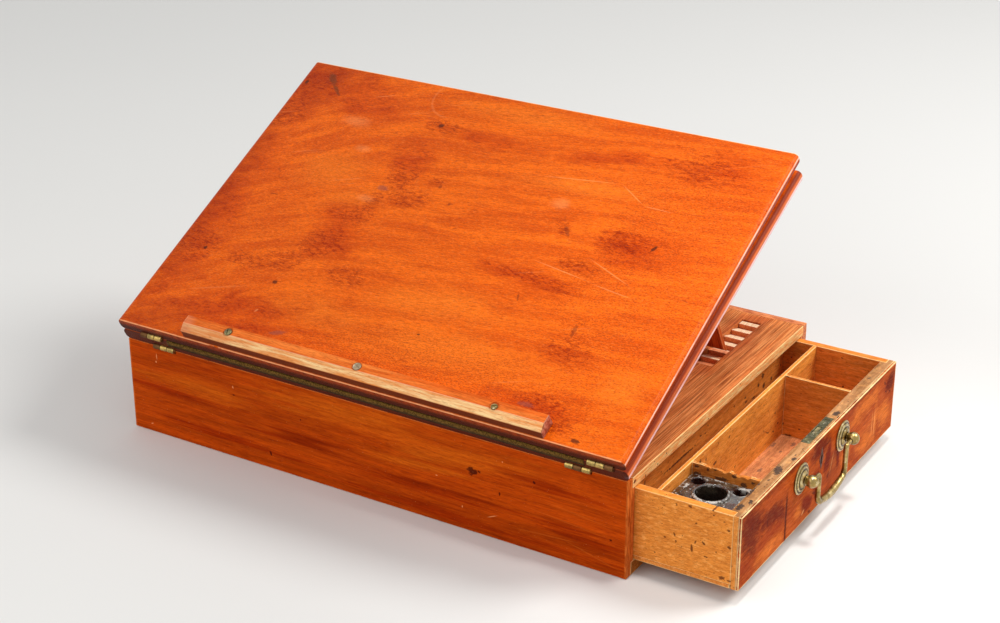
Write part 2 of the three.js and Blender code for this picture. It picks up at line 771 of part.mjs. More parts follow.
function buildDrawerFront() {
  const facing = block(
    [coreOuter + glueLine, -drawerHalf, drawerFoot],
    [facingX, drawerHalf, drawerTop],
  );
  const inlay = alongX(lozenge(glueLine), facingX - escutcheonThickness - glueLine, facingX + overrun);
  const through = [coreInner - overrun, facingX + overrun];
  const facingCuts = [inlay, keyhole(...through), ...shankHoles(...through)];
  add(drawer, 'drawer_facing', cut(facing, ...facingCuts), redMahogany());

  const escutcheon = alongX(lozenge(0), facingX - escutcheonThickness, facingX);
  add(drawer, 'escutcheon', cut(escutcheon, keyhole(...through)), darkHorn());

  const lapInner = coreOuter - sideLap + glueLine;
  const sideRebate = (hand) => {
    const [from, to] = [hand * (sideInner - glueLine), hand * (drawerHalf + overrun)].sort((a, b) => a - b);
    return block([coreInner - overrun, from, drawerFoot - overrun], [lapInner, to, drawerTop + overrun]);
  };
  const floorRebate = block(
    [coreInner - overrun, -drawerHalf - overrun, drawerFoot - overrun],
    [facingX - floorLap - facingThickness + glueLine, drawerHalf + overrun, wallFoot],
  );
  const lockRoom = block(
    [coreInner - overrun, lockCentreY - lockCaseLength / 2 - glueLine, plateFoot - lockCaseHeight - glueLine],
    [coreInner + lockCaseThickness + glueLine, lockCentreY + lockCaseLength / 2 + glueLine, drawerTop + overrun],
  );
  const plateRoom = block(
    [coreInner - overrun, lockCentreY - lockPlateLength / 2 - glueLine, plateFoot - glueLine],
    [coreInner + lockPlateWidth + glueLine, lockCentreY + lockPlateLength / 2 + glueLine, drawerTop + overrun],
  );
  const core = cut(
    block([coreInner, -drawerHalf, drawerFoot], [coreOuter, drawerHalf, drawerTop]),
    sideRebate(-1), sideRebate(1), floorRebate, lockRoom, plateRoom,
    keyhole(...through), ...shankHoles(...through),
  );
  add(drawer, 'drawer_front', core, lightWood());
}

function buildDrawerBox() {
  const sideEnd = coreOuter - sideLap;
  for (const [name, hand] of [['drawer_side_near', -1], ['drawer_side_far', 1]]) {
    const [from, to] = [hand * sideInner, hand * drawerHalf].sort((a, b) => a - b);
    const side = block([drawerEnd, from, wallFoot], [sideEnd, to, drawerTop]);
    add(drawer, name, side, lightWood());
  }
  const across = sideInner - glueLine;
  const wall = (x, thickness, foot) => block([x - thickness, -across, foot], [x, across, drawerTop]);
  const backX = drawerEnd + drawerBackThickness;
  add(drawer, 'drawer_back', wall(backX, drawerBackThickness, wallFoot), lightWood());

  // The bottom board is a thin plate under the walls, raised between them into the floor.
  const floorPlate = block(
    [drawerEnd, -drawerHalf, drawerFoot],
    [facingX - facingThickness - floorLap, drawerHalf, drawerFoot + floorEdge],
  );
  const raised = block(
    [backX + glueLine, -across, drawerFoot],
    [coreInner - glueLine, across, floorTop],
  );
  add(drawer, 'drawer_bottom', join(floorPlate, raised), floorWood());

  const dividerFoot = floorTop + glueLine;
  const frontDivider = coreInner - compartmentWidth;
  const rearDivider = frontDivider - dividerThickness - penTrayWidth;
  add(drawer, 'compartment_divider', wall(frontDivider, dividerThickness, dividerFoot), lightWood());
  add(drawer, 'pen_tray_divider', wall(rearDivider, dividerThickness, dividerFoot), lightWood());

  const partition = (low) => block(
    [frontDivider + glueLine, low, dividerFoot],
    [coreInner - glueLine, low + partitionThickness, drawerTop],
  );
  const nearPartition = -sideInner + inkCompartmentLength;
  const farPartition = sideInner - farCompartmentLength - partitionThickness;
  add(drawer, 'ink_partition', partition(nearPartition), lightWood());
  add(drawer, 'far_partition', partition(farPartition), lightWood());
}

// A square block of cut glass with a lipped round well and two pen holes behind it
function buildInkwell() {
  const x0 = coreInner - compartmentWidth + inkwellPlay;
  const x1 = coreInner - inkwellPlay;
  const y0 = -sideInner + inkwellPlay;
  const y1 = -sideInner + inkCompartmentLength - inkwellPlay;
  const foot = floorTop + glueLine;
  const top = foot + inkwellHeight;
  const [midX, midY] = [(x0 + x1) / 2, (y0 + y1) / 2];
  const c = inkwellChamfer / 2;
  const [left, right, front, back] = [x0 + c, x1 - c, y0 + c, y1 - c];
  const section = outline([
    [left + c, front], [right - c, front], [right, front + c], [right, back - c],
    [right - c, back], [left + c, back], [left, back - c], [left, front + c],
  ]);
  const geometry = new THREE.ExtrudeGeometry(section, {
    depth: inkwellHeight - 2 * c,
    bevelThickness: c,
    bevelSize: c,
    bevelSegments: 1,
  });
  geometry.translate(0, 0, foot + c);
  const lipOuter = wellRadius + lipWidth;
  const shoulder = lipHeight * lipShoulderShare;
  const lip = turnedZ([
    [0, -lipRootRadius], [lipOuter, -lipRootRadius], [lipOuter, lipHeight / 2],
    [lipOuter - lipWidth / 4, shoulder], [wellRadius + lipWidth / 2, lipHeight],
    [wellRadius + lipWidth / 4, shoulder], [0, shoulder],
  ], midX, midY, top);
  const well = turnedZ([
    [0, -wellDepth], [wellRadius * wellFloorShare, -wellDepth + lipWidth / 2],
    [wellRadius, -wellDepth + wellRadius / 2], [wellRadius, lipHeight / 2],
    [wellRadius + lipWidth / 4, overrun], [0, overrun],
  ], midX, midY, top);
  const penHole = (x) => turnedZ([
    [0, -penHoleDepth - penHoleRadius / 2], [penHoleRadius * penHoleFloorShare, -penHoleDepth],
    [penHoleRadius, -penHoleDepth + penHoleRadius / 2], [penHoleRadius, overrun], [0, overrun],
  ], x, midY + penHoleBehind, top);
  const holes = [penHole(midX - penHoleAside), penHole(midX + penHoleAside)];
  add(drawer, 'inkwell', cut(join(solid(geometry), lip), well, ...holes), glass());
}

function buildLock() {
  const caseTop = plateFoot - glueLine;
  const lockCase = block(
    [coreInner, lockCentreY - lockCaseLength / 2, plateFoot - lockCaseHeight],
    [coreInner + lockCaseThickness, lockCentreY + lockCaseLength / 2, caseTop],
  );
  const boltFoot = boltTop - boltHeight;
  const channel = boltBlock(running, boltFoot - running, drawerTop + overrun);
  const keyEntry = coreInner + lockCaseThickness - keyholeBite;
  add(drawer, 'lock_case', cut(lockCase, channel, keyhole(keyEntry, facingX)), darkBrass());
  const plate = block(
    [coreInner, lockCentreY - lockPlateLength / 2, plateFoot],
    [coreInner + lockPlateWidth, lockCentreY + lockPlateLength / 2, drawerTop],
  );
  add(drawer, 'lock_plate', cut(plate, channel), darkBrass());
  add(drawer, 'lock_bolt', boltBlock(0, boltFoot, boltTop), darkBrass());
}

// Bail handle. Ringed rosettes back two ball-headed posts that are nutted inside the drawer, and
// the bail's ends turn outwards through the balls.
const rosetteShares = [
  [1, 0], [1, 0.22], [0.93, 0.36], [0.87, 0.3], [0.8, 0.44], [0.7, 0.56], [0.62, 0.5],
  [0.52, 0.76], [0.38, 0.95], [0.3, 1],
];
const ballX = facingX + ballStandOff;

function buildHandlePosts() {
  const base = facingX + glueLine;
  const bore = postShankRadius + glueLine;
  const ring = rosetteShares.map(([radius, height]) => [radius * rosetteRadius, height * rosetteHeight]);
  const rosette = [[bore, 0], ...ring, [bore, rosetteHeight], [bore, 0]];
  const tail = coreInner - nutThickness - postTail;
  const collar = base + rosetteHeight + glueLine;
  const ballStart = Math.asin(postNeckRadius / ballRadius);
  const ball = [];
  for (let i = 0; i <= ballSteps; i += 1) {
    const turn = ballStart + (Math.PI - ballStart) * i / ballSteps;
    ball.push([i < ballSteps ? ballRadius * Math.sin(turn) : 0, ballX - ballRadius * Math.cos(turn)]);
  }
  const post = [
    [0, tail], [postShankRadius, tail], [postShankRadius, collar], [postNeckRadius, collar], ...ball,
  ];
  // Each ball is bored from its inner side, and the bail's end stops inside it.
  const pivotBore = (y) => {
    const outwards = Math.sign(y - handleY);
    const [from, to] = [-overrun - ballRadius, bailEndInBall + running]
      .map((reach) => y + outwards * reach).sort((a, b) => a - b);
    return alongY(circle(ballX, handleZ, bailEndRadius + running), from, to, smallRoundSteps);
  };
  const nutHalf = nutWidth / 2;
  for (const [place, y] of Object.entries(postSpots)) {
    add(drawer, `rosette_${place}`, turnedX(rosette, base, y, handleZ), brass());
    const body = turnedX(post, 0, y, handleZ);
    add(drawer, `handle_post_${place}`, cut(body, pivotBore(y)), brass());
    const nut = block(
      [coreInner - nutThickness, y - nutHalf, handleZ - nutHalf],
      [coreInner - glueLine, y + nutHalf, handleZ + nutHalf],
    );
    add(drawer, `handle_nut_${place}`, cut(nut, ...shankHoles(tail, coreInner)), darkBrass());
  }
}

function bailPath() {
  const end = postSpacing / 2 + bailEndInBall;
  const arm = bailArmSpacing / 2;
  const elbow = bailElbowRadius;
  const corner = bailCornerRadius;
  const at = (y, z) => new THREE.Vector3(0, y, z);
  const path = new THREE.CurvePath();
  path.add(new THREE.LineCurve3(at(-end, 0), at(-arm - elbow, 0)));
  path.add(new THREE.QuadraticBezierCurve3(at(-arm - elbow, 0), at(-arm, 0), at(-arm, -elbow)));
  path.add(new THREE.LineCurve3(at(-arm, -elbow), at(-arm, corner - bailDrop)));
  path.add(new THREE.QuadraticBezierCurve3(
    at(-arm, corner - bailDrop), at(-arm, -bailDrop), at(corner - arm, -bailDrop),
  ));
  path.add(new THREE.QuadraticBezierCurve3(
    at(corner - arm, -bailDrop), at(0, -bailDrop - bailBow), at(arm - corner, -bailDrop),
  ));
  path.add(new THREE.QuadraticBezierCurve3(
    at(arm - corner, -bailDrop), at(arm, -bailDrop), at(arm, corner - bailDrop),
  ));
  path.add(new THREE.LineCurve3(at(arm, corner - bailDrop), at(arm, -elbow)));
  path.add(new THREE.QuadraticBezierCurve3(at(arm, -elbow), at(arm, 0), at(arm + elbow, 0)));
  path.add(new THREE.LineCurve3(at(arm + elbow, 0), at(end, 0)));
  return path;
}

// The bail's half thickness at a point: thin where it passes a ball, fuller down the arms, and
// swelling to the grip at the bottom
function bailRadius(point) {
  const arm = bailArmSpacing / 2;
  if (Math.abs(point.y) > arm + bailElbowRadius / 2) return bailEndRadius;
  const fall = THREE.MathUtils.smoothstep(-point.z, bailDrop - bailCornerRadius, bailDrop);
  const middle = 1 - THREE.MathUtils.smoothstep(Math.abs(point.y), 0, arm);
  const swell = bailBendShare + (1 - bailBendShare) * middle;
  return bailArmRadius + (bailGripRadius - bailArmRadius) * fall * swell;
}

function buildBail() {
  const path = bailPath();
  const positions = [];
  const indices = [];
  for (let i = 0; i <= bailSteps; i += 1) {
    const point = path.getPointAt(i / bailSteps);
    const along = path.getTangentAt(i / bailSteps);
    const across = new THREE.Vector3().crossVectors(along, unitX);
    const radius = bailRadius(point);
    for (let j = 0; j < bailSides; j += 1) {
      const turn = 2 * Math.PI * j / bailSides;
      const offset = across.clone().multiplyScalar(radius * Math.cos(turn));
      offset.addScaledVector(unitX, radius * Math.sin(turn));
      positions.push(...point.clone().add(offset).toArray());
    }
  }
  for (let i = 0; i < bailSteps; i += 1) {
    for (let j = 0; j < bailSides; j += 1) {
      const next = (j + 1) % bailSides;
      const [a, b] = [i * bailSides + j, i * bailSides + next];
      const [c, d] = [a + bailSides, b + bailSides];
      indices.push(a, d, b, a, c, d);
    }
  }
  for (const [ring, flip] of [[0, false], [bailSteps, true]]) {
    for (let j = 1; j < bailSides - 1; j += 1) {
      const fan = [ring * bailSides, ring * bailSides + j, ring * bailSides + j + 1];
      indices.push(...(flip ? fan.reverse() : fan));
    }
  }
  const geometry = new THREE.BufferGeometry();
  geometry.setAttribute('position', new THREE.Float32BufferAttribute(positions, 3));
  geometry.setIndex(indices);
  geometry.translate(ballX, handleY, handleZ);
  add(drawer, 'bail', solid(geometry), brass());
}

buildCase();
buildLowerBoard();
buildUpperBoard();
buildProp();
buildDrawerFront();
buildDrawerBox();
buildInkwell();
buildLock();
buildHandlePosts();
buildBail();

export default desk;
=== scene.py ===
# A portable writing desk of mahogany, dressed around its imported model. Each piece of the model gets a
# finished piece of the same size, with pale arrises of wear and painted highlight, grain, stains and old polish.
# Lengths here are in millimetres, and Blender's are in metres. +X is towards the drawer's pull, +Y the back and +Z up.
import json
import math
import random

import bmesh
import bpy
from bpy.props import FloatProperty, FloatVectorProperty, IntProperty, PointerProperty
from mathutils import Matrix, Vector, noise

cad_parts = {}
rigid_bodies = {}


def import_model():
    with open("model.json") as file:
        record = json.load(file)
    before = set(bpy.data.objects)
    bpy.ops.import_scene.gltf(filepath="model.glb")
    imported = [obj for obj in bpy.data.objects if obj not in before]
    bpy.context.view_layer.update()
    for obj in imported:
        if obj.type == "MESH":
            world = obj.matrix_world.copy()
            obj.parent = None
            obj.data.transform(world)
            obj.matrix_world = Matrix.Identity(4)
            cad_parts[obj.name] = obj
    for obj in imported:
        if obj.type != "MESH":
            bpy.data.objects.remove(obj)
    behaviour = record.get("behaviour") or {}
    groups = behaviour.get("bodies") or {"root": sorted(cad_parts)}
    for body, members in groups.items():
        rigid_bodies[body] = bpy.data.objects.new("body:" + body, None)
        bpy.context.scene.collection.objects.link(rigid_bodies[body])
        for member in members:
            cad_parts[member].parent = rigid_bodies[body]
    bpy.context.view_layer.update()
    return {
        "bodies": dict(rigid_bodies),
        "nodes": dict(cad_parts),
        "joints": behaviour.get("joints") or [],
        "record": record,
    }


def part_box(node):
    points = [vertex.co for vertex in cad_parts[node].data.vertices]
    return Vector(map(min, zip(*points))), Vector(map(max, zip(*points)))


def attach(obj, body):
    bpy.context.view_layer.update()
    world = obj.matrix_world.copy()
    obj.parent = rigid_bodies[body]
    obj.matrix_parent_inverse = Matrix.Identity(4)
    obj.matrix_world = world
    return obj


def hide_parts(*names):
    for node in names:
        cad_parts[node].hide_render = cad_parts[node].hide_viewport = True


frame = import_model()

bl_info = {
    "name": "Writing Desk",
    "version": (1, 0, 0),
    "blender": (4, 5, 0),
    "location": "View3D > Sidebar > Writing Desk",
    "description": "Builds the finished pieces of a portable writing desk around its packed model",
    "category": "Add Mesh",
}

MM = 0.001

# Case, in the model's own sizes
CASE_LENGTH, CASE_DEPTH, CASE_HEIGHT = 365.1, 247.6, 63.8
WALL, TOP, BOTTOM, REBATE = 8.3, 7.0, 8.8, 2.8
HALF_LENGTH, HALF_DEPTH = CASE_LENGTH / 2, CASE_DEPTH / 2
GLUE_LINE = 0.15
RUNNING = 0.3

# Boards, which turn about the hinges on the case's front edge
SLOPE, LEAF_OPEN, PROP_LEAN = (math.radians(degrees) for degrees in (25.49, 1.3, 61.0))
BOARD = 8.6
BOARD_LENGTH, BOARD_DEPTH = 367.1, 248.2
BOARD_UNDER, LEAF_GAP = 0.15, 0.6
BOARD_TOP = BOARD_UNDER + BOARD
NOSING, EASE = 3.4, 0.7
PROP_REACH, PROP_HEIGHT = 157.3, 2.0
LOWER_AT = Vector((0, -BOARD_DEPTH / 2, CASE_HEIGHT + BOARD_UNDER))
LOWER = Matrix.Translation(LOWER_AT) @ Matrix.Rotation(SLOPE, 4, "X")
UPPER = LOWER @ Matrix.Translation((0, 0, BOARD_TOP + LEAF_GAP / 2)) @ Matrix.Rotation(LEAF_OPEN, 4, "X")
PROP = LOWER @ Matrix.Translation((0, PROP_REACH, PROP_HEIGHT)) @ Matrix.Rotation(-PROP_LEAN - SLOPE, 4, "X")
WORLD = Matrix.Identity(4)

# Hinges
HINGE_LENGTH, HINGE_WIDTH, HINGE_THICKNESS = 16.5, 7.4, 1.0
KNUCKLE, HINGE_PIN = 2.0, 0.85
LOWER_HINGES = {"left": -152.0, "right": 150.6}
UPPER_HINGES = {"left": -158.4, "right": 167.0}
PROP_HINGES = {"left": -95.0, "right": 95.0}
PROP_HINGE_LENGTH, PROP_HINGE_WIDTH, PROP_HINGE_THICKNESS = 15.0, 7.0, 0.7
PROP_KNUCKLE, PROP_PIN = 1.4, 0.55

# Lining, ledge, prop and strips
LINING_MARGIN, LINING_RECESS, HEM_DROP, HEM_THICKNESS = 13.0, 0.6, 4.6, 0.6
LINING_LEFT = UPPER_HINGES["left"] + HINGE_LENGTH / 2 + 3
LINING_RIGHT = UPPER_HINGES["right"] - HINGE_LENGTH / 2 - 3
LEDGE_LENGTH, LEDGE_CENTRE, LEDGE_SETBACK = 261.0, 1.5, 0.8
LEDGE_WIDTH, LEDGE_HEIGHT, LEDGE_FRONT, LEDGE_BEVEL = 11.7, 8.4, 6.3, 4.6
LEDGE_SCREWS = ((-94.8, 7.6), (1.6, 8.6), (98.0, 7.3))
LEG_CENTRE, LEG_WIDTH, PROP_ABOVE, PROP_BELOW = 150.75, 12.4, 1.3, 1.7
PROP_FOOT, PROP_TOE, PROP_HEAD = 79.67, 5.0, 2.6
TOP_RAIL, LOW_RAIL = (2.6, 17.6), (44.0, 55.0)
STRIP_WIDTH, STRIP_THICKNESS, STRIP_SUNK = 13.7, 5.0, 1.0
NOTCHES, NOTCH_PITCH, NOTCH_DEPTH, NOTCH_LAND, FIRST_STOP = 6, 11.4, 3.2, 2.0, 44.5

# Drawer, where it stands drawn out
FACE_X, CORE_X, CORE_INNER = 248.45, 246.45, 239.65
DRAWER_TOP, DRAWER_FOOT = 56.0, 9.2
HANDLE_Y, HANDLE_Z, POST_SPACING = -3.0, 42.3, 62.0
BALL_X, BALL = 255.65, 4.0
BAIL_DROP, BAIL_BOW, BAIL_ARM = 20.4, 3.6, 20.5
KEYHOLE_Y, KEYHOLE_Z = -3.0, 42.2


def linear(red, green, blue):
    """A colour seen as these 0 to 255 values, in the scene's own light values."""
    shares = (channel / 255 for channel in (red, green, blue))
    return tuple(s / 12.92 if s <= 0.04045 else ((s + 0.055) / 1.055) ** 2.4 for s in shares)


def colour_value(name, about, seen):
    return FloatVectorProperty(
        name=name, description=about, subtype="COLOR", size=3, min=0, max=1, default=linear(*seen)
    )


def length_value(name, about, millimetres):
    return FloatProperty(
        name=name, description=about, unit="LENGTH", min=0, precision=5, default=millimetres * MM
    )


class DeskSizes(bpy.types.PropertyGroup):
    """Sizes of the finished detail"""

    arris: length_value("Worn arris", "How far the edges of the wood are rounded over", 0.4)
    lining: length_value("Lining thickness", "Thickness of the baize between the boards", 0.4)
    screw_head: length_value("Hinge screw", "Radius of the countersunk heads in the hinge leaves", 1.15)
    screws: IntProperty(name="Screws in a leaf", description="Screws in each hinge leaf", default=3, min=1)
    floor: length_value("Floor", "How far the floor reaches from the desk", 6000)


class DeskColours(bpy.types.PropertyGroup):
    """Colours of the woods, the metals, the lining and the floor"""

    mahogany: colour_value("Mahogany", "Polished boards", (249, 113, 18))
    deep: colour_value("Deep mahogany", "Dark figure in the polished boards", (222, 88, 9))
    front: colour_value("Case front", "Polished front of the case", (200, 76, 9))
    faded: colour_value("Faded mahogany", "Top of the case", (214, 124, 62))
    pale: colour_value("Pale wood", "Drawer sides and partitions", (230, 140, 58))
    brass: colour_value("Brass", "Handle and hinges", (170, 144, 86))
    steel: colour_value("Steel", "Ledge screws", (120, 114, 100))
    baize: colour_value("Baize", "Lining of the boards", (74, 70, 26))
    ink: colour_value("Ink", "Old spills and specks", (34, 26, 26))
    floor: colour_value("Floor", "Floor under the desk", (226, 224, 220))


# ---------------------------------------------------------------------------------------------
# Nodes. The same two classes write the materials and the Geometry Nodes trees.


class Number:
    """A number in a tree of nodes. Python's operators add the Math nodes that work it out."""

    def __init__(self, nodes, socket):
        self.nodes, self.socket = nodes, socket

    def maths(self, operation, *values):
        made = self.nodes.node("ShaderNodeMath", {"operation": operation}, dict(enumerate(values)))
        return Number(self.nodes, made.outputs[0])

    def __add__(self, other):
        return self.maths("ADD", self, other)

    def __sub__(self, other):
        return self.maths("SUBTRACT", self, other)

    def __rsub__(self, other):
        return self.maths("SUBTRACT", other, self)

    def __mul__(self, other):
        return self.maths("MULTIPLY", self, other)

    def __truediv__(self, other):
        return self.maths("DIVIDE", self, other)

    def __mod__(self, other):
        return self.maths("MODULO", self, other)

    def __pow__(self, other):
        return self.maths("POWER", self, other)

    def __abs__(self):
        return self.maths("ABSOLUTE", self)

    __radd__, __rmul__ = __add__, __mul__

    def smaller(self, other):
        return self.maths("MINIMUM", self, other)

    def larger(self, other):
        return self.maths("MAXIMUM", self, other)

    def floor(self):
        return self.maths("FLOOR", self)

    def sine(self):
        return self.maths("SINE", self)

    def over(self, limit):
        return self.maths("GREATER_THAN", self, limit)

    def ramp(self, low, high):
        """0 below low and 1 above high, with a smooth rise between them."""
        made = self.nodes.node(
            "ShaderNodeMapRange", {"interpolation_type": "SMOOTHSTEP"},
            {"Value": self, "From Min": low, "From Max": high},
        )
        return Number(self.nodes, made.outputs["Result"])


class Nodes:
    """A tree of nodes that is written in code."""

    def __init__(self, tree):
        self.tree = tree
        tree.nodes.clear()

    def node(self, kind, settings=None, values=None):
        """Adds a node: its settings first, then the values or links of its sockets."""
        made = self.tree.nodes.new(kind)
        for key, value in (settings or {}).items():
            if key == "stops":
                ramp = made.color_ramp
                while len(ramp.elements) < len(value):
                    ramp.elements.new(0)
                for stop, (place, colour) in zip(ramp.elements, value):
                    stop.position, stop.color = place, (*colour, 1)
            else:
                setattr(made, key, value)
        for key, value in (values or {}).items():
            socket = made.inputs[key]
            value = value.socket if isinstance(value, Number) else value
            if isinstance(value, bpy.types.NodeSocket):
                self.tree.links.new(value, socket)
            elif socket.type == "RGBA":
                socket.default_value = (*value[:3], 1)
            else:
                socket.default_value = value
        return made

    def parts(self, vector):
        made = self.node("ShaderNodeSeparateXYZ", {}, {0: vector})
        return [Number(self, output) for output in made.outputs]

    def vector(self, x, y, z):
        return self.node("ShaderNodeCombineXYZ", {}, {0: x, 1: y, 2: z}).outputs[0]


class Finish(Nodes):
    """A material. Its places are in millimetres, in the frame of the piece that it covers."""

    def __init__(self, name):
        self.material = bpy.data.materials.new(name)
        self.material.use_nodes = True
        super().__init__(self.material.node_tree)

    def places(self, frame=WORLD):
        """Object coordinates in millimetres, measured in a piece's own frame."""
        coordinates = self.node("ShaderNodeTexCoord").outputs["Object"]
        return self.node("ShaderNodeMapping", {"vector_type": "TEXTURE"}, {
            "Vector": coordinates,
            "Location": frame.to_translation() * MM,
            "Rotation": frame.to_euler(),
            "Scale": (MM, MM, MM),
        }).outputs[0]

    def noise(self, place, detail=2.0, rough=0.5, size=(1, 1, 1)):
        """Noise whose lumps are about size long, in millimetres."""
        scaled = self.node("ShaderNodeVectorMath", {"operation": "DIVIDE"}, {0: place, 1: size}).outputs[0]
        made = self.node("ShaderNodeTexNoise", {}, {
            "Vector": scaled, "Scale": 1.0, "Detail": detail, "Roughness": rough,
        })
        return Number(self, made.outputs[0])

    def specks(self, place, size, share):
        """Ragged specks of about this size. Share is how many of the cells hold one."""
        bent = self.node("ShaderNodeTexNoise", {}, {"Vector": place, "Scale": 0.9 / size, "Detail": 1.0})
        moved = self.node("ShaderNodeVectorMath", {"operation": "MULTIPLY_ADD"}, {
            0: bent.outputs["Color"], 1: (size * 2.2,) * 3, 2: place,
        })
        scaled = self.node("ShaderNodeVectorMath", {"operation": "DIVIDE"}, {0: moved.outputs[0], 1: (size * 3,) * 3})
        cells = self.node("ShaderNodeTexVoronoi", {}, {"Vector": scaled.outputs[0], "Scale": 1.0})
        chosen = self.parts(cells.outputs["Color"])[0]
        near = 1 - Number(self, cells.outputs["Distance"]).ramp(0.1, 0.26)
        return near * (1 - chosen.ramp(share, share + 0.02))

    def spot(self, place, centre, radii, turn=0.0):
        """1 at the centre of an ellipse, falling evenly to 0 at its edge."""
        fitted = self.node("ShaderNodeMapping", {"vector_type": "TEXTURE"}, {
            "Vector": place, "Location": centre, "Rotation": (0, 0, math.radians(turn)), "Scale": radii,
        })
        made = self.node("ShaderNodeTexGradient", {"gradient_type": "SPHERICAL"}, {0: fitted.outputs[0]})
        return Number(self, made.outputs[1])

    def spots(self, place, table, depth=1000.0):
        """The nearest of several ellipses, from rows of centre x, y, radii x, y and a turn."""
        masks = [
            self.spot(place, (x, y, 0), (across, along, depth), turn)
            for x, y, across, along, turn in table
        ]
        whole = masks[0]
        for mask in masks[1:]:
            whole = whole.larger(mask)
        return whole

    def mix(self, share, first, second, blend="MIX"):
        made = self.node("ShaderNodeMix", {"data_type": "RGBA", "blend_type": blend, "clamp_factor": True}, {
            0: share, 6: first, 7: second,
        })
        return made.outputs[2]

    def arris(self, place, low, high):
        """Distance in millimetres from the nearest edge of a box, for the pale band of wear and painted highlight along
        its arrises.
        """
        gaps = []
        for value, start, end in zip(self.parts(place), low, high):
            gaps.append((end - start) / 2 - abs(value - (start + end) / 2))
        first, second, third = gaps
        return first.smaller(second).larger(first.larger(second).smaller(third))

    def surface(self, colour, rough, height=None, depth=0.1, strength=1.0, **constants):
        """Closes the material. Height, from 0 to 1, stands for depth millimetres of relief."""
        values = {"Base Color": colour, "Roughness": rough}
        if height is not None:
            bump = self.node("ShaderNodeBump", {}, {
                "Height": height, "Distance": depth * MM, "Strength": strength,
            })
            values["Normal"] = bump.outputs[0]
        values.update({key.replace("_", " "): value for key, value in constants.items()})
        shader = self.node("ShaderNodeBsdfPrincipled", {}, values)
        self.node("ShaderNodeOutputMaterial", {}, {0: shader.outputs[0]})
        return self.material


class Rule(Nodes):
    """A Geometry Nodes tree with named sizes."""

    def __init__(self, name, sizes):
        super().__init__(bpy.data.node_groups.new(name, "GeometryNodeTree"))
        face = self.tree.interface
        face.new_socket("Geometry", in_out="OUTPUT", socket_type="NodeSocketGeometry")
        self.names = {}
        for size, value in sizes.items():
            kind = "NodeSocketInt" if isinstance(value, int) else "NodeSocketFloat"
            made = face.new_socket(size, in_out="INPUT", socket_type=kind)
            made.default_value = value
            self.names[size] = made.identifier
        self.sizes = sizes
        self.given = self.node("NodeGroupInput")

    def size(self, name):
        return Number(self, self.given.outputs[name])

    def made(self, material, geometry, name):
        """Runs the tree once and keeps what it makes as a plain mesh."""
        solid = self.node("GeometryNodeRealizeInstances", {}, {0: geometry})
        coated = self.node("GeometryNodeSetMaterial", {}, {0: solid.outputs[0], "Material": material})
        self.node("NodeGroupOutput", {}, {0: coated.outputs[0]})
        holder = bpy.data.objects.new("holder", bpy.data.meshes.new("holder"))
        bpy.context.scene.collection.objects.link(holder)
        modifier = holder.modifiers.new("rule", "NODES")
        modifier.node_group = self.tree
        for size, value in self.sizes.items():
            modifier[self.names[size]] = value
        mesh = bpy.data.meshes.new_from_object(holder.evaluated_get(bpy.context.evaluated_depsgraph_get()))
        bpy.data.objects.remove(holder)
        mesh.name = name
        if not mesh.polygons:
            raise RuntimeError(f"the rule for {name} made nothing")
        return mesh


# ---------------------------------------------------------------------------------------------
# Meshes. Every one is made in a piece's own frame in millimetres, then put in place in metres.


def prism(points, start, end, axis="X"):
    """An outline run along an axis. Its points are the other two coordinates, in the order of the axes."""
    turn = {
        "X": lambda along, a, b: (along, a, b),
        "Y": lambda along, a, b: (a, along, b),
        "Z": lambda along, a, b: (a, b, along),
    }[axis]
    made = bmesh.new()
    ends = [[made.verts.new(turn(along, *point)) for point in points] for along in (start, end)]
    made.faces.new(ends[0])
    made.faces.new(reversed(ends[1]))
    for i in range(len(points)):
        j = (i + 1) % len(points)
        made.faces.new((ends[0][j], ends[0][i], ends[1][i], ends[1][j]))
    bmesh.ops.recalc_face_normals(made, faces=made.faces)
    return made


def block(low, high):
    (x0, y0, z0), (x1, y1, z1) = low, high
    return prism([(y0, z0), (y1, z0), (y1, z1), (y0, z1)], x0, x1)


def lathe(profile, sides=64, axis="Z"):
    """A profile of (radius, height) pairs turned about an axis, closed where it meets the axis."""
    made = bmesh.new()
    rings = []
    for radius, height in profile:
        if radius < 1e-6:
            rings.append([made.verts.new((0, 0, height))])
            continue
        rings.append([
            made.verts.new((radius * math.cos(a), radius * math.sin(a), height))
            for a in (math.tau * i / sides for i in range(sides))
        ])
    for first, second in zip(rings, rings[1:]):
        for i in range(sides):
            j = (i + 1) % sides
            corners = [first[i % len(first)], first[j % len(first)], second[j % len(second)], second[i % len(second)]]
            unique = list(dict.fromkeys(corners))
            if len(unique) > 2:
                made.faces.new(unique)
    if axis == "X":
        made.transform(Matrix.Rotation(math.pi / 2, 4, "Y"))
    elif axis == "Y":
        made.transform(Matrix.Rotation(-math.pi / 2, 4, "X"))
    bmesh.ops.recalc_face_normals(made, faces=made.faces)
    return made


def swept(points, radii, sides=20, squash=1.0):
    """A round bar along points in the YZ plane. Squash flattens it along X."""
    made = bmesh.new()
    rings = []
    for i, (point, radius) in enumerate(zip(points, radii)):
        along = (points[min(i + 1, len(points) - 1)] - points[max(i - 1, 0)]).normalized()
        across = along.cross(Vector((1, 0, 0)))
        rings.append([
            made.verts.new(point + across * radius * math.cos(a) + Vector((radius * squash * math.sin(a), 0, 0)))
            for a in (math.tau * k / sides for k in range(sides))
        ])
    for first, second in zip(rings, rings[1:]):
        for k in range(sides):
            j = (k + 1) % sides
            made.faces.new((first[k], first[j], second[j], second[k]))
    made.faces.new(rings[0])
    made.faces.new(reversed(rings[-1]))
    bmesh.ops.recalc_face_normals(made, faces=made.faces)
    return made


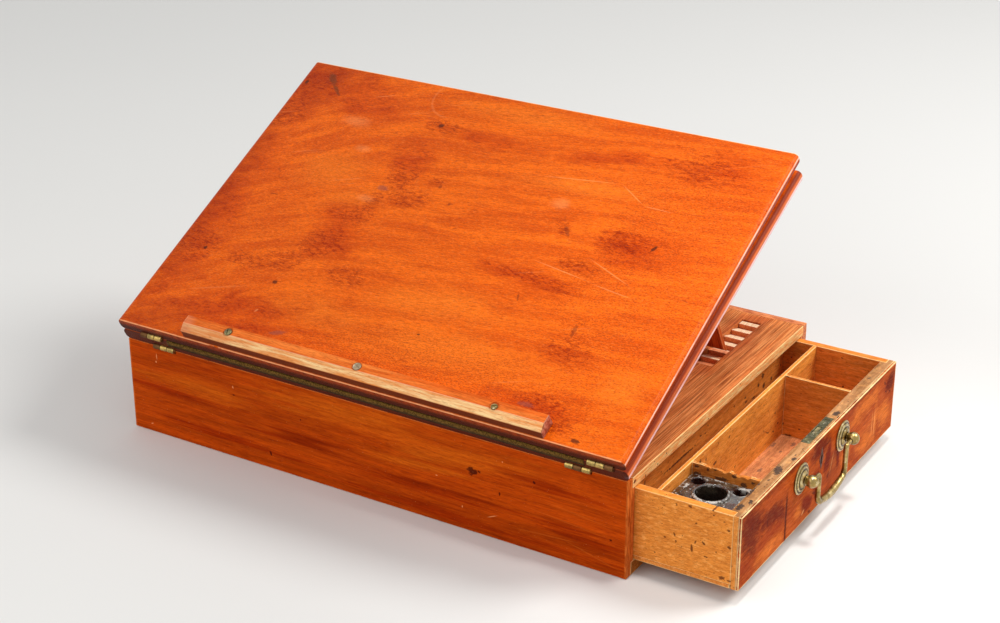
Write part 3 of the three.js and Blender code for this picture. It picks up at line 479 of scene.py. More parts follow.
def eased(made, width, steps=2, keep=lambda edge: True):
    """Rounds over the sharp outer edges."""
    sharp = [
        edge for edge in made.edges
        if len(edge.link_faces) == 2 and edge.calc_face_angle_signed(0) > math.radians(25) and keep(edge)
    ]
    bmesh.ops.bevel(
        made, geom=sharp, offset=width, segments=steps, profile=0.5, affect="EDGES", clamp_overlap=True
    )
    return made


def joined(*shapes):
    """Several closed shapes in one mesh."""
    whole = bmesh.new()
    for made in shapes:
        spare = bpy.data.meshes.new("spare")
        made.to_mesh(spare)
        made.free()
        whole.from_mesh(spare)
        bpy.data.meshes.remove(spare)
    return whole


def placed(made, frame):
    made.transform(frame)
    return made


def spare_object(made, name="spare"):
    mesh = bpy.data.meshes.new(name)
    made.to_mesh(mesh)
    made.free()
    thing = bpy.data.objects.new(name, mesh)
    bpy.context.scene.collection.objects.link(thing)
    return thing


def carved(made, *cutters):
    """Cuts each of the cutters out of a shape."""
    body = spare_object(made)
    for cutter in cutters:
        tool = spare_object(cutter)
        cut = body.modifiers.new("cut", "BOOLEAN")
        cut.operation, cut.solver, cut.object = "DIFFERENCE", "EXACT", tool
        mesh = bpy.data.meshes.new_from_object(body.evaluated_get(bpy.context.evaluated_depsgraph_get()))
        body.modifiers.clear()
        if not mesh.polygons:
            raise RuntimeError("a cut left nothing of a piece")
        body.data = mesh
        bpy.data.objects.remove(tool)
    result = bmesh.new()
    result.from_mesh(body.data)
    bpy.data.objects.remove(body)
    return result


def piece(name, made, finish, body, replaces=(), frame=WORLD, flat=35.0, weighted=True):
    """Puts a finished shape in the scene, on its body and in place of its nodes."""
    if isinstance(made, bpy.types.Mesh):
        mesh = made
        mesh.name = name
    else:
        mesh = bpy.data.meshes.new(name)
        made.to_mesh(mesh)
        made.free()
    mesh.transform(Matrix.Scale(MM, 4) @ frame)
    mesh.materials.clear()
    mesh.materials.append(finish)
    mesh.shade_smooth()
    mesh.set_sharp_from_angle(angle=math.radians(flat))
    thing = bpy.data.objects.new(name, mesh)
    bpy.context.scene.collection.objects.link(thing)
    if weighted:
        even = thing.modifiers.new("even", "WEIGHTED_NORMAL")
        even.keep_sharp = True
        even.weight = 75
        thing.data = bpy.data.meshes.new_from_object(
            thing.evaluated_get(bpy.context.evaluated_depsgraph_get())
        )
        thing.data.name = name
        thing.modifiers.clear()
        bpy.data.meshes.remove(mesh)
    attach(thing, body)
    if replaces:
        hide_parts(*replaces)
    return thing


def extent(node):
    """A node's corners in millimetres."""
    low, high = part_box(node)
    return Vector(low) / MM, Vector(high) / MM


def sizes():
    return bpy.context.scene.desk_sizes


def colours():
    return bpy.context.scene.desk_colours


def shaded(colour, share):
    """A colour with its light values multiplied."""
    return tuple(min(1.0, channel * share) for channel in colour[:3])


def blended(first, second, share):
    return tuple(a + (b - a) * share for a, b in zip(first[:3], second[:3]))


# ---------------------------------------------------------------------------------------------
# Finishes


SHADE = (0.50, 0.30, 0.20)
PORE = (0.42, 0.22, 0.16)


def wood(
    name, dark, light, frame=WORLD, along="X", figure=(110.0, 6.0), fibre=(15.0, 0.7), wave=4.0,
    pores=0.45, mottle=0.25, grain=0.4, streaks=0.3, bend=None, box=None, worn=None, worn_width=0.6, worn_share=0.8,
    rough=(0.36, 0.5), relief=0.06, coat=0.02, gloss=0.05, tones=None, marks=None,
):
    """Wood with broad figure, streaks, fine fibres, dark pores and pale arrises of wear and painted highlight.

    The grain runs along an axis of the piece's own frame. Bend shifts it sideways by a function of
    its two coordinates. Tones lie under the grain. Marks lie on it and can change the roughness.
    """
    f = Finish(name)
    place = f.places(frame)
    x, y, z = f.parts(place)
    run, side, deep = {"X": (x, y, z), "Y": (y, x, z), "Z": (z, x, y)}[along]
    drift = (f.noise(f.vector(run, side, deep), size=(90, 45, 45)) - 0.5) * (2 * wave)
    if bend:
        drift = drift - bend(run, side)
    line = f.vector(run, side + drift, deep + drift * 0.4)
    broad = f.noise(line, 4.0, 0.62, (figure[0], figure[1], figure[1])).ramp(0.32, 0.68)
    streak = 1 - f.noise(line, 3.0, 0.6, (fibre[0] * 2.4, fibre[1] * 3.2, fibre[1] * 3.2)).ramp(0.34, 0.62)
    fine = 1 - f.noise(line, 2.0, 0.55, (fibre[0], fibre[1], fibre[1])).ramp(0.34, 0.62)
    pore = f.noise(line, 1.0, 0.5, (4.2, 0.42, 0.42)).ramp(0.58, 0.72)
    patch = f.noise(place, 3.0, 0.6, (42, 24, 24)).ramp(0.38, 0.66)
    colour = f.mix(broad, dark, light)
    colour = f.mix(patch * mottle, colour, SHADE, "MULTIPLY")
    if tones:
        colour = tones(f, place, colour)
    colour = f.mix(streak * streaks, colour, SHADE, "MULTIPLY")
    colour = f.mix(fine * grain, colour, SHADE, "MULTIPLY")
    colour = f.mix(pore * pores, colour, PORE, "MULTIPLY")
    # The pale band along the arrises is partly wear and partly painted highlight, where an edge catches the light.
    if box:
        low, high = box
        ragged = f.noise(place, 3.0, 0.7, (9, 9, 9)) * 1.6
        bare = 1 - (f.arris(place, low, high) / worn_width + ragged).ramp(1.1, 2.0)
        colour = f.mix(bare * worn_share, colour, worn or light)
    roughness = f.noise(place, 3.0, 0.6, (18, 12, 12)) * (rough[1] - rough[0]) + rough[0] + pore * 0.1
    height = 1 - fine * 0.5 - streak * 0.2 - pore * 0.9
    if marks:
        colour, roughness = marks(f, place, colour, roughness)
    return f.surface(
        colour, roughness, height, relief, 0.8, Coat_Weight=coat, Coat_Roughness=0.2, Specular_IOR_Level=gloss,
        Specular_Tint=(1.0, 0.72, 0.46),
    )


def band_of(value, middle, inner, outer):
    """1 within inner of the middle, falling to 0 at outer."""
    return 1 - abs(value - middle).ramp(inner, outer)


def flattened(f, place, face):
    """Coordinates with the first two in the plane of a face."""
    x, y, z = f.parts(place)
    return f.vector(*{"XY": (x, y, z), "XZ": (x, z, y), "YZ": (y, z, x)}[face])


def stained(table, ink, size=2.6, specks=None, depth=1000.0, face="XY", fade=0.88):
    """Marks for wood(): ink or dirt in the places of a table, with ragged edges, and fine specks."""

    def marks(f, place, colour, roughness):
        flat = flattened(f, place, face)
        rag = f.noise(place, 5.0, 0.75, (size,) * 3) - 0.5
        if table:
            stain = (f.spots(flat, table, depth) + rag * 1.7).ramp(0.42, 0.56)
            tone = f.noise(place, 2.0, 0.6, (size * 0.7,) * 3).ramp(0.35, 0.7)
            colour = f.mix(stain * fade, colour, f.mix(tone * 0.5, ink, shaded(ink, 3.0)))
            roughness = roughness - stain * 0.06
        for spread, share in specks or ():
            colour = f.mix(f.specks(place, spread, share) * 0.85, colour, ink)
        return colour, roughness

    return marks


def upper_board_tones(f, place, colour):
    """The polished board's amber middle, its dark band of painted shadow along the left end and its red, wormy patches.
    """
    x, y, z = f.parts(place)
    amber = f.spots(place, (
        (-112, 158, 46, 26, 12), (18, 72, 80, 26, 8), (-82, 138, 34, 20, 20), (60, 186, 70, 12, 5),
        (0, 236, 90, 14, 0), (160, 46, 26, 26, 0), (40, 42, 110, 26, 0), (-60, 44, 60, 20, 0),
    ))
    cloud = f.noise(place, 4.0, 0.62, (34, 15, 15))
    colour = f.mix((amber + (cloud - 0.5) * 0.9).ramp(0.1, 0.9) * 0.5, colour, linear(255, 132, 34))
    flecks = f.noise(place, 3.0, 0.65, (2.6, 0.7, 1.0)).ramp(0.5, 0.66)
    colour = f.mix(flecks * 0.26, colour, linear(255, 156, 72))
    weak = f.spots(place, (
        (-140, 226, 80, 34, 0), (-120, 213, 80, 11, 0), (-20, 208, 66, 10, 0), (72, 215, 60, 11, 12),
        (116, 146, 40, 24, 0), (62, 108, 60, 14, -8), (112, 20, 54, 18, 0), (-80, 112, 34, 54, 20),
        (-172, 100, 40, 150, 0), (-176, 230, 60, 60, 0), (-110, 30, 110, 34, 8), (150, 226, 30, 26, 0),
        (-64, 178, 26, 28, 30),
    ))
    wide = f.noise(place, 4.0, 0.65, (22, 10, 12))
    reddened = (weak + (wide - 0.5) * 1.5).ramp(0.1, 1.0)
    colour = f.mix(reddened, colour, (0.82, 0.62, 0.46), "MULTIPLY")
    # Painted shadow along the board's left end and into its front and back corners.
    shadow = f.spots(place, ((-176, 236, 74, 54, 0), (-184, 120, 26, 200, 0), (-150, 0, 120, 40, 0)))
    colour = f.mix((shadow + (wide - 0.5) * 0.8).ramp(0.1, 0.9) * 0.9, colour, (0.72, 0.6, 0.4), "MULTIPLY")
    strong = f.spots(place, (
        (130, 220, 30, 20, 0), (-84, 96, 22, 17, 34), (-100, 76, 22, 12, 15), (-124, 69, 24, 9, 0),
        (-168, 73, 22, 16, 0), (-72, 124, 14, 11, 0), (-60, 160, 17, 15, 30), (-50, 76, 20, 10, 0),
        (114, 62, 26, 15, -15), (66, 153, 6, 13, 40), (108, 150, 22, 12, 0), (120, 24, 20, 9, 0),
        (134, 11, 16, 8, 0), (-178, 198, 18, 18, 0), (-54, 212, 18, 8, 0), (92, 125, 22, 8, 0),
        (-46, 148, 22, 12, 0), (-68, 140, 9, 12, 0), (-34, 166, 8, 6, 0), (70, 108, 40, 6, -8),
    ))
    lumps = f.noise(place, 6.0, 0.78, (12, 5, 5))
    deep = (strong + (lumps - 0.5) * 4.2).ramp(0.4, 0.9)
    colour = f.mix(deep * strong.ramp(0.02, 0.3) * 0.42, colour, (0.62, 0.36, 0.28), "MULTIPLY")
    curls = band_of(f.noise(place, 3.0, 0.6, (6, 1.9, 2.4)), 0.5, 0.02, 0.08) * f.noise(place, 2.0, 0.6, (5, 2.4, 3)).ramp(0.4, 0.56)
    curled = (strong * 1.4 + reddened * 0.4 + (wide - 0.5)).ramp(0.1, 0.7)
    colour = f.mix(curls * curled * 0.75, colour, (0.5, 0.26, 0.2), "MULTIPLY")
    rays = f.noise(place, 4.0, 0.7, (5, 1.6, 3)).ramp(0.5, 0.66)
    colour = f.mix(rays * 0.42, colour, (0.7, 0.46, 0.36), "MULTIPLY")
    stipple = f.noise(place, 2.0, 0.65, (1.4, 0.7, 0.9)).ramp(0.48, 0.62)
    rough_right = (f.spots(place, ((150, 130, 90, 150, 0), (60, 20, 160, 40, 0))) + (wide - 0.5)).ramp(0.05, 0.6)
    colour = f.mix(stipple * (rough_right * 0.34 + 0.28), colour, (0.5, 0.3, 0.24), "MULTIPLY")
    pale = f.spots(place, ((-120, 202, 18, 8, 0), (-102, 180, 12, 5, 0), (56, 170, 10, 7, 0), (-75, 140, 10, 5, 0)))
    return f.mix((pale + (cloud - 0.5)).ramp(0.1, 0.9) * 0.26, colour, linear(255, 166, 104))


def upper_board_marks(f, place, colour, roughness):
    """Smears, dents, pale rings and scratches in the board's polish, and painted light and shade on its front edge, its
    nosed ends and its left and back arrises.
    """
    x, y, z = f.parts(place)
    smear = f.spots(place, ((-160, 235, 11, 4.2, -48), (-152, 226.5, 9, 2.4, -42), (-148, 222.5, 4, 1.4, -30)))
    dots = f.noise(place, 4.0, 0.7, (1.8,) * 3)
    colour = f.mix((smear * 1.3 + (dots - 0.5) * 1.2).ramp(0.3, 0.8) * 0.6, colour, linear(88, 50, 26))
    black = f.spots(place, (
        (-58, 213, 3.8, 2.8, 0), (-95, 58.3, 3.4, 2.6, 0), (20, 47.6, 2.0, 1.2, 0), (-160, 71, 2, 2.4, 0), (-178, 228, 2.4, 4, 0),
        (130, 151, 2.0, 5, -25), (150, 5, 5, 2.6, 0),
    ))
    colour = f.mix((black + (dots - 0.5) * 1.1).ramp(0.3, 0.6) * 0.8, colour, linear(66, 28, 16))
    red = f.spots(place, ((112, 78, 2.6, 9, 0), (70, 150, 2.6, 8, 40), (66, 92, 1.2, 6, 20), (-16, 150, 2, 2, 0),
        (-150, 147.5, 2.0, 1.6, 0), (-140, 126.5, 5, 1.0, 5), (-30, 162.5, 2.2, 3.4, 20)))
    colour = f.mix((red + (dots - 0.5) * 1.6).ramp(0.3, 0.7) * 0.6, colour, linear(120, 40, 16))
    haze = f.spots(place, ((-68, 151, 7, 4, 0), (-70, 22, 9, 3, 20), (110, 20, 9, 3, 0)))
    colour = f.mix((haze + (dots - 0.5)).ramp(0.2, 0.7) * 0.5, colour, linear(128, 74, 66))
    ring = f.spot(place, (-60, 238, 0), (22, 22, 400))
    band = ring.ramp(0.17, 0.21) * (1 - ring.ramp(0.23, 0.28)) * (1 - x.ramp(-64, -54))
    lines = f.spots(place, (
        (57, 192, 32, 0.5, 7), (97, 189, 15, 0.5, -32), (118, 181.6, 12, 0.5, -2), (82, 119, 26, 0.5, -9),
        (120, 112.6, 18, 0.5, -8), (112, 126, 22, 0.5, -22), (-112, 229, 10, 0.4, 20), (-94, 34, 2, 1.0, 60),
    ))
    colour = f.mix((band * 0.4 + lines.ramp(0.0, 0.6)) * 0.3, colour, linear(255, 178, 110))
    scratch = f.noise(f.vector(x * 0.6 + y, (y - x * 0.35) * 12, z), 1.0, 0.4, (60, 34, 70)).ramp(0.74, 0.78)
    colour = f.mix(scratch * 0.1, colour, linear(255, 178, 110))
    colour = f.mix(f.specks(place, 0.35, 0.03) * 0.2, colour, linear(255, 200, 140))
    rag = f.noise(place, 3.0, 0.6, (3, 16, 3)).ramp(0.3, 0.62)
    # The nosed ends: painted shade on their lower half and a painted highlight line along the rounding.
    ends = abs(x).ramp(181.2, 182.4)
    colour = f.mix(ends * (1 - z.ramp(4.4, 5.4)) * 0.9, colour, linear(140, 42, 14))
    colour = f.mix(ends * band_of(z, 6.2, 0.3, 0.8) * (rag * 0.5 + 0.45), colour, linear(255, 206, 184))
    top = LEAF_GAP / 2 + BOARD
    # Painted highlight along the arrises of the left end and of the back edge.
    rim = (1 - x.ramp(-182.6, -181.8)) * z.ramp(6.8, 7.4)
    rim = rim.larger(y.ramp(BOARD_DEPTH - 1.0, BOARD_DEPTH - 0.6) * z.ramp(top - 1.4, top - 0.9) * 0.8)
    colour = f.mix(rim * (rag * 0.3 + 0.5), colour, linear(255, 184, 104))
    # The front edge, painted in shade: darkest at its foot, lightening towards the top of its rounding.
    front = (1 - y.ramp(0.1, 0.7)) * (1 - z.ramp(top - 0.7, top - 0.3))
    bulge = z.ramp(top - 5.6, top - 1.4)
    colour = f.mix(front * 0.96, colour, f.mix(bulge, linear(58, 14, 5), f.mix(rag, linear(112, 38, 12), linear(156, 60, 20))))
    # Painted highlight along the lip of the front edge.
    lip = (1 - y.ramp(0.5, 1.0)) * z.ramp(top - 0.6, top - 0.3) * rag
    colour = f.mix(lip * 0.5, colour, linear(236, 140, 92))
    shine = f.noise(place, 3.0, 0.6, (55, 40, 40))
    return colour, roughness + (shine - 0.5) * 0.14


def front_tones(f, place, colour):
    """Amber and dark streaks that run the length of the case's front."""
    flat = flattened(f, place, "XZ")
    wide = f.noise(flat, 5.0, 0.7, (60, 4, 20))
    amber = f.spots(flat, ((-10, 54, 110, 16, 2), (66, 46, 80, 12, 6), (-130, 42, 70, 10, 0), (40, 34, 60, 6, 4)))
    colour = f.mix((amber + (wide - 0.5) * 1.6).ramp(0.1, 0.9) * 0.7, colour, linear(220, 104, 18))
    dark = f.spots(flat, (
        (-40, 28, 60, 8, 5), (-150, 33, 60, 5, 0), (-110, 13, 90, 5, 0), (50, 20, 90, 7, 2), (150, 18, 50, 9, -6),
        (130, 45, 50, 6, -3), (60, 6, 140, 7, 0),
    ))
    band = f.noise(flat, 3.0, 0.6, (70, 2.6, 20))
    return f.mix((dark + (band - 0.5) * 2.6).ramp(0.1, 0.9) * 0.85, colour, (0.62, 0.38, 0.3), "MULTIPLY")


def front_marks(f, place, colour, roughness):
    """Blotches and tiny white scratches on the case's polished front, and its rubbed right end."""
    x, y, z = f.parts(place)
    flat = flattened(f, place, "XZ")
    rag = f.noise(place, 5.0, 0.75, (2.4,) * 3) - 0.5
    blots = f.spots(flat, (
        (79, 41, 6, 4, -30), (80, 40, 6, 3, 35), (84, 42, 2.4, 1.6, 0), (121.3, 45.6, 1.9, 1.6, 0), (-98, 44.5, 1.6, 1, 0),
        (-46, 41, 0.9, 1.2, 0), (-71, 11, 1.6, 3, 20), (98, 31, 1.4, 2.6, 0), (172, 23, 2, 1, 0),
    ))
    colour = f.mix((blots + rag * 1.4).ramp(0.38, 0.6) * 0.85, colour, linear(60, 14, 8))
    chips = f.spots(flat, (
        (-98.3, 50, 0.9, 1.6, 12), (-159.8, 56, 0.6, 4.0, 4), (-160.6, 52, 0.9, 1.2, 0), (93, 14.5, 6, 0.5, 24),
        (72, 15, 0.7, 1.4, 0), (54, 31, 1.2, 0.6, 0), (100, 53, 0.8, 0.8, 0), (-168, 5.5, 1.8, 0.7, 20),
    ))
    colour = f.mix((chips + rag * 0.7).ramp(0.2, 0.7) * 0.7, colour, linear(244, 160, 100))
    arcs = f.spots(flat, ((130, 13, 30, 0.6, 4), (160, 9, 26, 0.6, -14), (140, 26, 36, 0.5, -5), (150, 33, 30, 0.5, -6)))
    colour = f.mix(arcs.ramp(0.0, 0.6) * 0.22, colour, linear(220, 110, 36))
    end = abs(x).ramp(181.0, 181.9)
    grain = f.noise(place, 4.0, 0.7, (1.2, 1.2, 9)).ramp(0.4, 0.6)
    colour = f.mix(end * 0.85, colour, f.mix(grain, linear(168, 74, 24), linear(222, 120, 50)))
    colour = f.mix(f.specks(place, 0.3, 0.03) * 0.5, colour, linear(236, 160, 100))
    return colour, roughness


def back_marks(f, place, colour, roughness):
    """Blotches on the case's back, and faded wood on its rim and its ends."""
    spotted = stained(((-40, 21, 5, 4, 0), (-180, 35, 3, 2, 0), (30, 3, 4, 2, 0)), linear(60, 20, 12), face="XZ")
    colour, roughness = spotted(f, place, colour, roughness)
    x, y, z = f.parts(place)
    rim = z.ramp(CASE_HEIGHT - 9.6, CASE_HEIGHT - 9.2).larger(abs(x + 60).ramp(181.8, 182.3))
    grain = f.noise(place, 4.0, 0.7, (9, 1.4, 1.6)).ramp(0.36, 0.62)
    return f.mix(rim * 0.85, colour, f.mix(grain, linear(158, 76, 34), linear(236, 150, 92))), roughness


def faded_tones(f, place, colour):
    """The case's top: coarse salmon streaks along the grain, redder and darker round the strips, and its right end face
    brightened as painted light.
    """
    x, y, z = f.parts(place)
    ridge = f.noise(f.vector(x, y, 0.0), 3.0, 0.65, (0.9, 60, 1)).ramp(0.44, 0.6)
    colour = f.mix(ridge * 0.7, colour, linear(250, 172, 102))
    furrow = f.noise(f.vector(x + 40.0, y, 0.0), 3.0, 0.65, (0.75, 44, 1)).ramp(0.5, 0.62)
    colour = f.mix(furrow * 0.65, colour, linear(122, 54, 18))
    wide = f.noise(place, 3.0, 0.6, (20, 30, 20))
    # Redder and darker round the notched strips.
    near = (abs(abs(x) - LEG_CENTRE) / -16 + 1.3).smaller(1.0)
    red = (near * (1 - abs(y - 70).ramp(40, 60)) + (wide - 0.5) * 1.6).ramp(0.3, 1.1)
    colour = f.mix(red * 0.8, colour, (0.74, 0.46, 0.38), "MULTIPLY")
    # Painted light: the right end face of the top, brightened to a pale orange.
    rail = x.ramp(181.9, 182.4)
    grain = f.noise(place, 4.0, 0.7, (3, 9, 1.0)).ramp(0.4, 0.65)
    return f.mix(rail * 0.9, colour, f.mix(grain, linear(255, 166, 90), linear(255, 226, 156)))


def facing_tones(f, place, colour):
    """The drawer's veneer: maroon towards the front, brown above, and dark red by the lock, partly the painted shadow
    of the handle.
    """
    flat = flattened(f, place, "YZ")
    wide = f.noise(place, 5.0, 0.7, (12, 15, 5))
    bright = f.spots(flat, (
        (72, 20, 30, 14, 0), (84, 26, 7, 24, 0), (62, 46, 38, 12, 6), (-76, 15, 34, 9, 0), (-30, 46, 12, 5, 0),
        (36, 24, 11, 9, 0), (-34, 20, 9, 7, 0), (98, 26, 20, 18, 0),
    ))
    colour = f.mix((bright + (wide - 0.5) * 1.4).ramp(0.1, 0.8) * 0.7, colour, linear(240, 132, 50))
    maroon = f.spots(flat, ((-102, 42, 22, 24, 0), (-72, 36, 30, 10, -10), (106, 44, 12, 10, 30), (-4, 50, 20, 12, 0)))
    colour = f.mix((maroon + (wide - 0.5) * 1.6).ramp(0.06, 0.6), colour, (0.38, 0.2, 0.22), "MULTIPLY")
    # Dark red round the lock, partly painted shadow of the handle's far post and bail.
    red = f.spots(flat, ((7, 36, 7, 17, -10), (-22, 20, 12, 8, -24), (24, 34, 4, 20, 0), (-8, 26, 8, 14, 20)))
    colour = f.mix((red + (wide - 0.5) * 0.8).ramp(0.1, 0.5) * 0.9, colour, (0.42, 0.14, 0.14), "MULTIPLY")
    brown = f.spots(flat, ((-60, 54, 60, 5, 0), (60, 55, 60, 3, 0)))
    return f.mix((brown + (wide - 0.5)).ramp(0.2, 0.7) * 0.8, colour, (0.5, 0.36, 0.26), "MULTIPLY")


def facing_marks(f, place, colour, roughness):
    """A dark upright stripe, streaks by the lock, stains and pale scratches in the drawer's veneer."""
    x, y, z = f.parts(place)
    flat = flattened(f, place, "YZ")
    streak = f.noise(place, 3.0, 0.65, (8, 1.8, 30)).ramp(0.54, 0.68)
    near_lock = f.spot(flat, (-2, 44, 0), (26, 40, 400)).ramp(0.05, 0.5)
    colour = f.mix(streak * near_lock * 0.8, colour, linear(70, 18, 12))
    # A dark upright stripe beside the near rosette, from the bottom edge up to about the handle's height.
    split = abs(y + 52.5 + (f.noise(f.vector(0.0, 0.0, z), 3.0, 0.6, (1, 1, 7)) - 0.5) * 3).ramp(0.7, 1.8)
    colour = f.mix((1 - split) * (1 - z.ramp(36, 43)) * 0.9, colour, linear(76, 18, 8))
    rag = f.noise(place, 5.0, 0.75, (2.2,) * 3) - 0.5
    blots = f.spots(flat, (
        (97, 48, 2.0, 5, 50), (100, 41, 4, 1.6, -30), (106, 39, 4, 1.4, -20), (-79, 35, 1.4, 6, 0), (-100, 42, 2, 2, 0),
        (-86, 30, 1.6, 1.4, 0), (-17, 12, 5, 2.6, 0), (-12, 22, 9, 1.8, -30), (9, 24, 2, 6, -20),
    ))
    colour = f.mix((blots + rag * 1.4).ramp(0.36, 0.58) * 0.75, colour, linear(84, 20, 12))
    grain = f.noise(place, 4.0, 0.75, (3, 7, 0.7))
    colour = f.mix(grain.ramp(0.5, 0.66) * 0.12, colour, linear(255, 170, 96))
    colour = f.mix((1 - grain).ramp(0.5, 0.66) * 0.4, colour, linear(104, 30, 12))
    line = f.spots(flat, (
        (83, 26, 0.5, 14, 0), (79, 27, 0.5, 12, 0), (14, 30, 0.6, 9, -20), (30, 38, 0.5, 6, 10), (-27, 16, 3, 1.2, 30),
    ))
    colour = f.mix(line.ramp(0.0, 0.5) * 0.5, colour, linear(255, 190, 120))
    return f.mix(f.specks(place, 0.3, 0.06) * 0.5, colour, linear(255, 180, 116)), roughness


def aged_metal(name, colour, frame=WORLD, dirt=0.5, rough=(0.24, 0.46), tarnish=(62, 54, 30), bright=(226, 206, 150), metal=1.0,
               rings=False):
    """Old cast metal: rubbed bright in patches, with painted glints and fine pits. Rings add painted shade with tarnish
    in a rosette's grooves and painted highlights on its ridges.
    """
    f = Finish(name)
    place = f.places(frame)
    cloud = f.noise(place, 3.0, 0.6, (6,) * 3)
    grain = f.noise(place, 3.0, 0.7, (0.9,) * 3)
    made = f.mix((cloud + (grain - 0.5) * 0.5).ramp(0.35, 0.7), shaded(colour, 0.75), colour)
    made = f.mix(cloud.ramp(0.52, 0.7) * 0.5, made, linear(*bright))
    made = f.mix((1 - cloud).ramp(0.5, 0.72) * dirt, made, linear(*tarnish))
    # Painted glints: small near-white highlights.
    glint = f.noise(place, 4.0, 0.75, (2.2,) * 3).ramp(0.56, 0.68)
    made = f.mix(glint * 0.7, made, linear(255, 246, 214))
    pits = f.noise(place, 1.0, 0.5, (0.55,) * 3).ramp(0.64, 0.78)
    made = f.mix(pits * dirt * 0.8, made, shaded(linear(*tarnish), 0.5))
    if rings:
        y, z = f.parts(place)[1:]
        out = ((abs(y - HANDLE_Y) - POST_SPACING / 2) ** 2 + (z - HANDLE_Z) ** 2) ** 0.5
        # Painted shade with tarnish in the grooves and round the post, and painted highlights on the ridges.
        groove_tarnish_and_shade = band_of(out, 8.35, 0.2, 0.6).larger(band_of(out, 5.9, 0.25, 0.7)).larger(1 - out.ramp(3.1, 3.9))
        made = f.mix(groove_tarnish_and_shade * 0.85, made, linear(52, 36, 20))
        ridge_highlights = band_of(out, 9.3, 0.1, 0.5).larger(band_of(out, 7.2, 0.2, 0.6))
        made = f.mix(ridge_highlights * grain.ramp(0.3, 0.6) * 0.45, made, linear(240, 224, 176))
    roughness = cloud * (rough[1] - rough[0]) + rough[0] + pits * 0.2
    return f.surface(made, roughness, grain * 0.4 + cloud * 0.4 - pits * 0.6, 0.05, 0.7, Metallic=metal)


def felt(name, colour, frame=WORLD):
    """Baize: a short tangled nap, paler where it catches the light, rubbed thin in patches, and a golden hem darkened
    along its lower edge as painted shade.
    """
    f = Finish(name)
    place = f.places(frame)
    nap = f.noise(place, 4.0, 0.75, (1.1, 0.8, 0.8))
    threads = f.noise(place, 2.0, 0.6, (3.2, 0.35, 0.35))
    wear = f.noise(place, 3.0, 0.6, (46, 30, 30))
    made = f.mix(nap.ramp(0.3, 0.7), shaded(colour, 0.55), shaded(colour, 1.35))
    made = f.mix(threads.ramp(0.56, 0.72) * 0.4, made, blended(colour, linear(196, 176, 104), 0.6))
    made = f.mix(wear.ramp(0.55, 0.75) * 0.35, made, blended(colour, linear(150, 120, 60), 0.5))
    y, z = f.parts(place)[1:]
    # The hem: golden brown, darkened along its lower edge as painted shade.
    hem = 1 - y.ramp(0.4, 0.9)
    golden = f.mix(nap.ramp(0.35, 0.65), linear(54, 33, 10), linear(134, 96, 42))
    low = 1 - z.ramp(BOARD_TOP - HEM_DROP + 0.6, BOARD_TOP - HEM_DROP + 2.6)
    made = f.mix(hem * 0.85, made, f.mix(low * 0.75, golden, linear(44, 18, 6)))
    return f.surface(
        made, 0.94, nap * 0.7 + threads * 0.4, 0.3, 1.0, Sheen_Weight=0.03, Specular_IOR_Level=0.02,
    )


# ---------------------------------------------------------------------------------------------
# Case


def hinge_bed(x, side, reach, length=HINGE_LENGTH, width=HINGE_WIDTH, thick=HINGE_THICKNESS, radius=KNUCKLE, to=1):
    """What is cut from the wood for a hinge's leaf and its barrel, about the hinge's own pin."""
    depth = reach + thick + GLUE_LINE
    low, high = (-2.0, depth) if side > 0 else (-depth, 2.0)
    near, far = (-2.0, width + RUNNING) if to > 0 else (-width - RUNNING, 2.0)
    ends = length / 2 + RUNNING
    bed = block((x - ends, near, low), (x + ends, far, high))
    room = [
        ((radius + RUNNING) * math.cos(a), (radius + RUNNING) * math.sin(a))
        for a in (math.tau * i / 32 for i in range(32))
    ]
    return bed, prism(room, x - ends, x + ends)


def lower_hinge_beds():
    frame = Matrix.Translation(LOWER_AT)
    return [placed(part, frame) for x in LOWER_HINGES.values() for part in hinge_bed(x, -1, BOARD_UNDER)]


def wall_outline(outer, inward):
    """A wall's section, with rebates for the top and the bottom."""
    inner, shoulder = outer + inward * WALL, outer + inward * (WALL - REBATE)
    under = CASE_HEIGHT - TOP
    return [
        (outer, 0), (shoulder, 0), (shoulder, BOTTOM), (inner, BOTTOM),
        (inner, under), (shoulder, under), (shoulder, CASE_HEIGHT), (outer, CASE_HEIGHT),
    ]


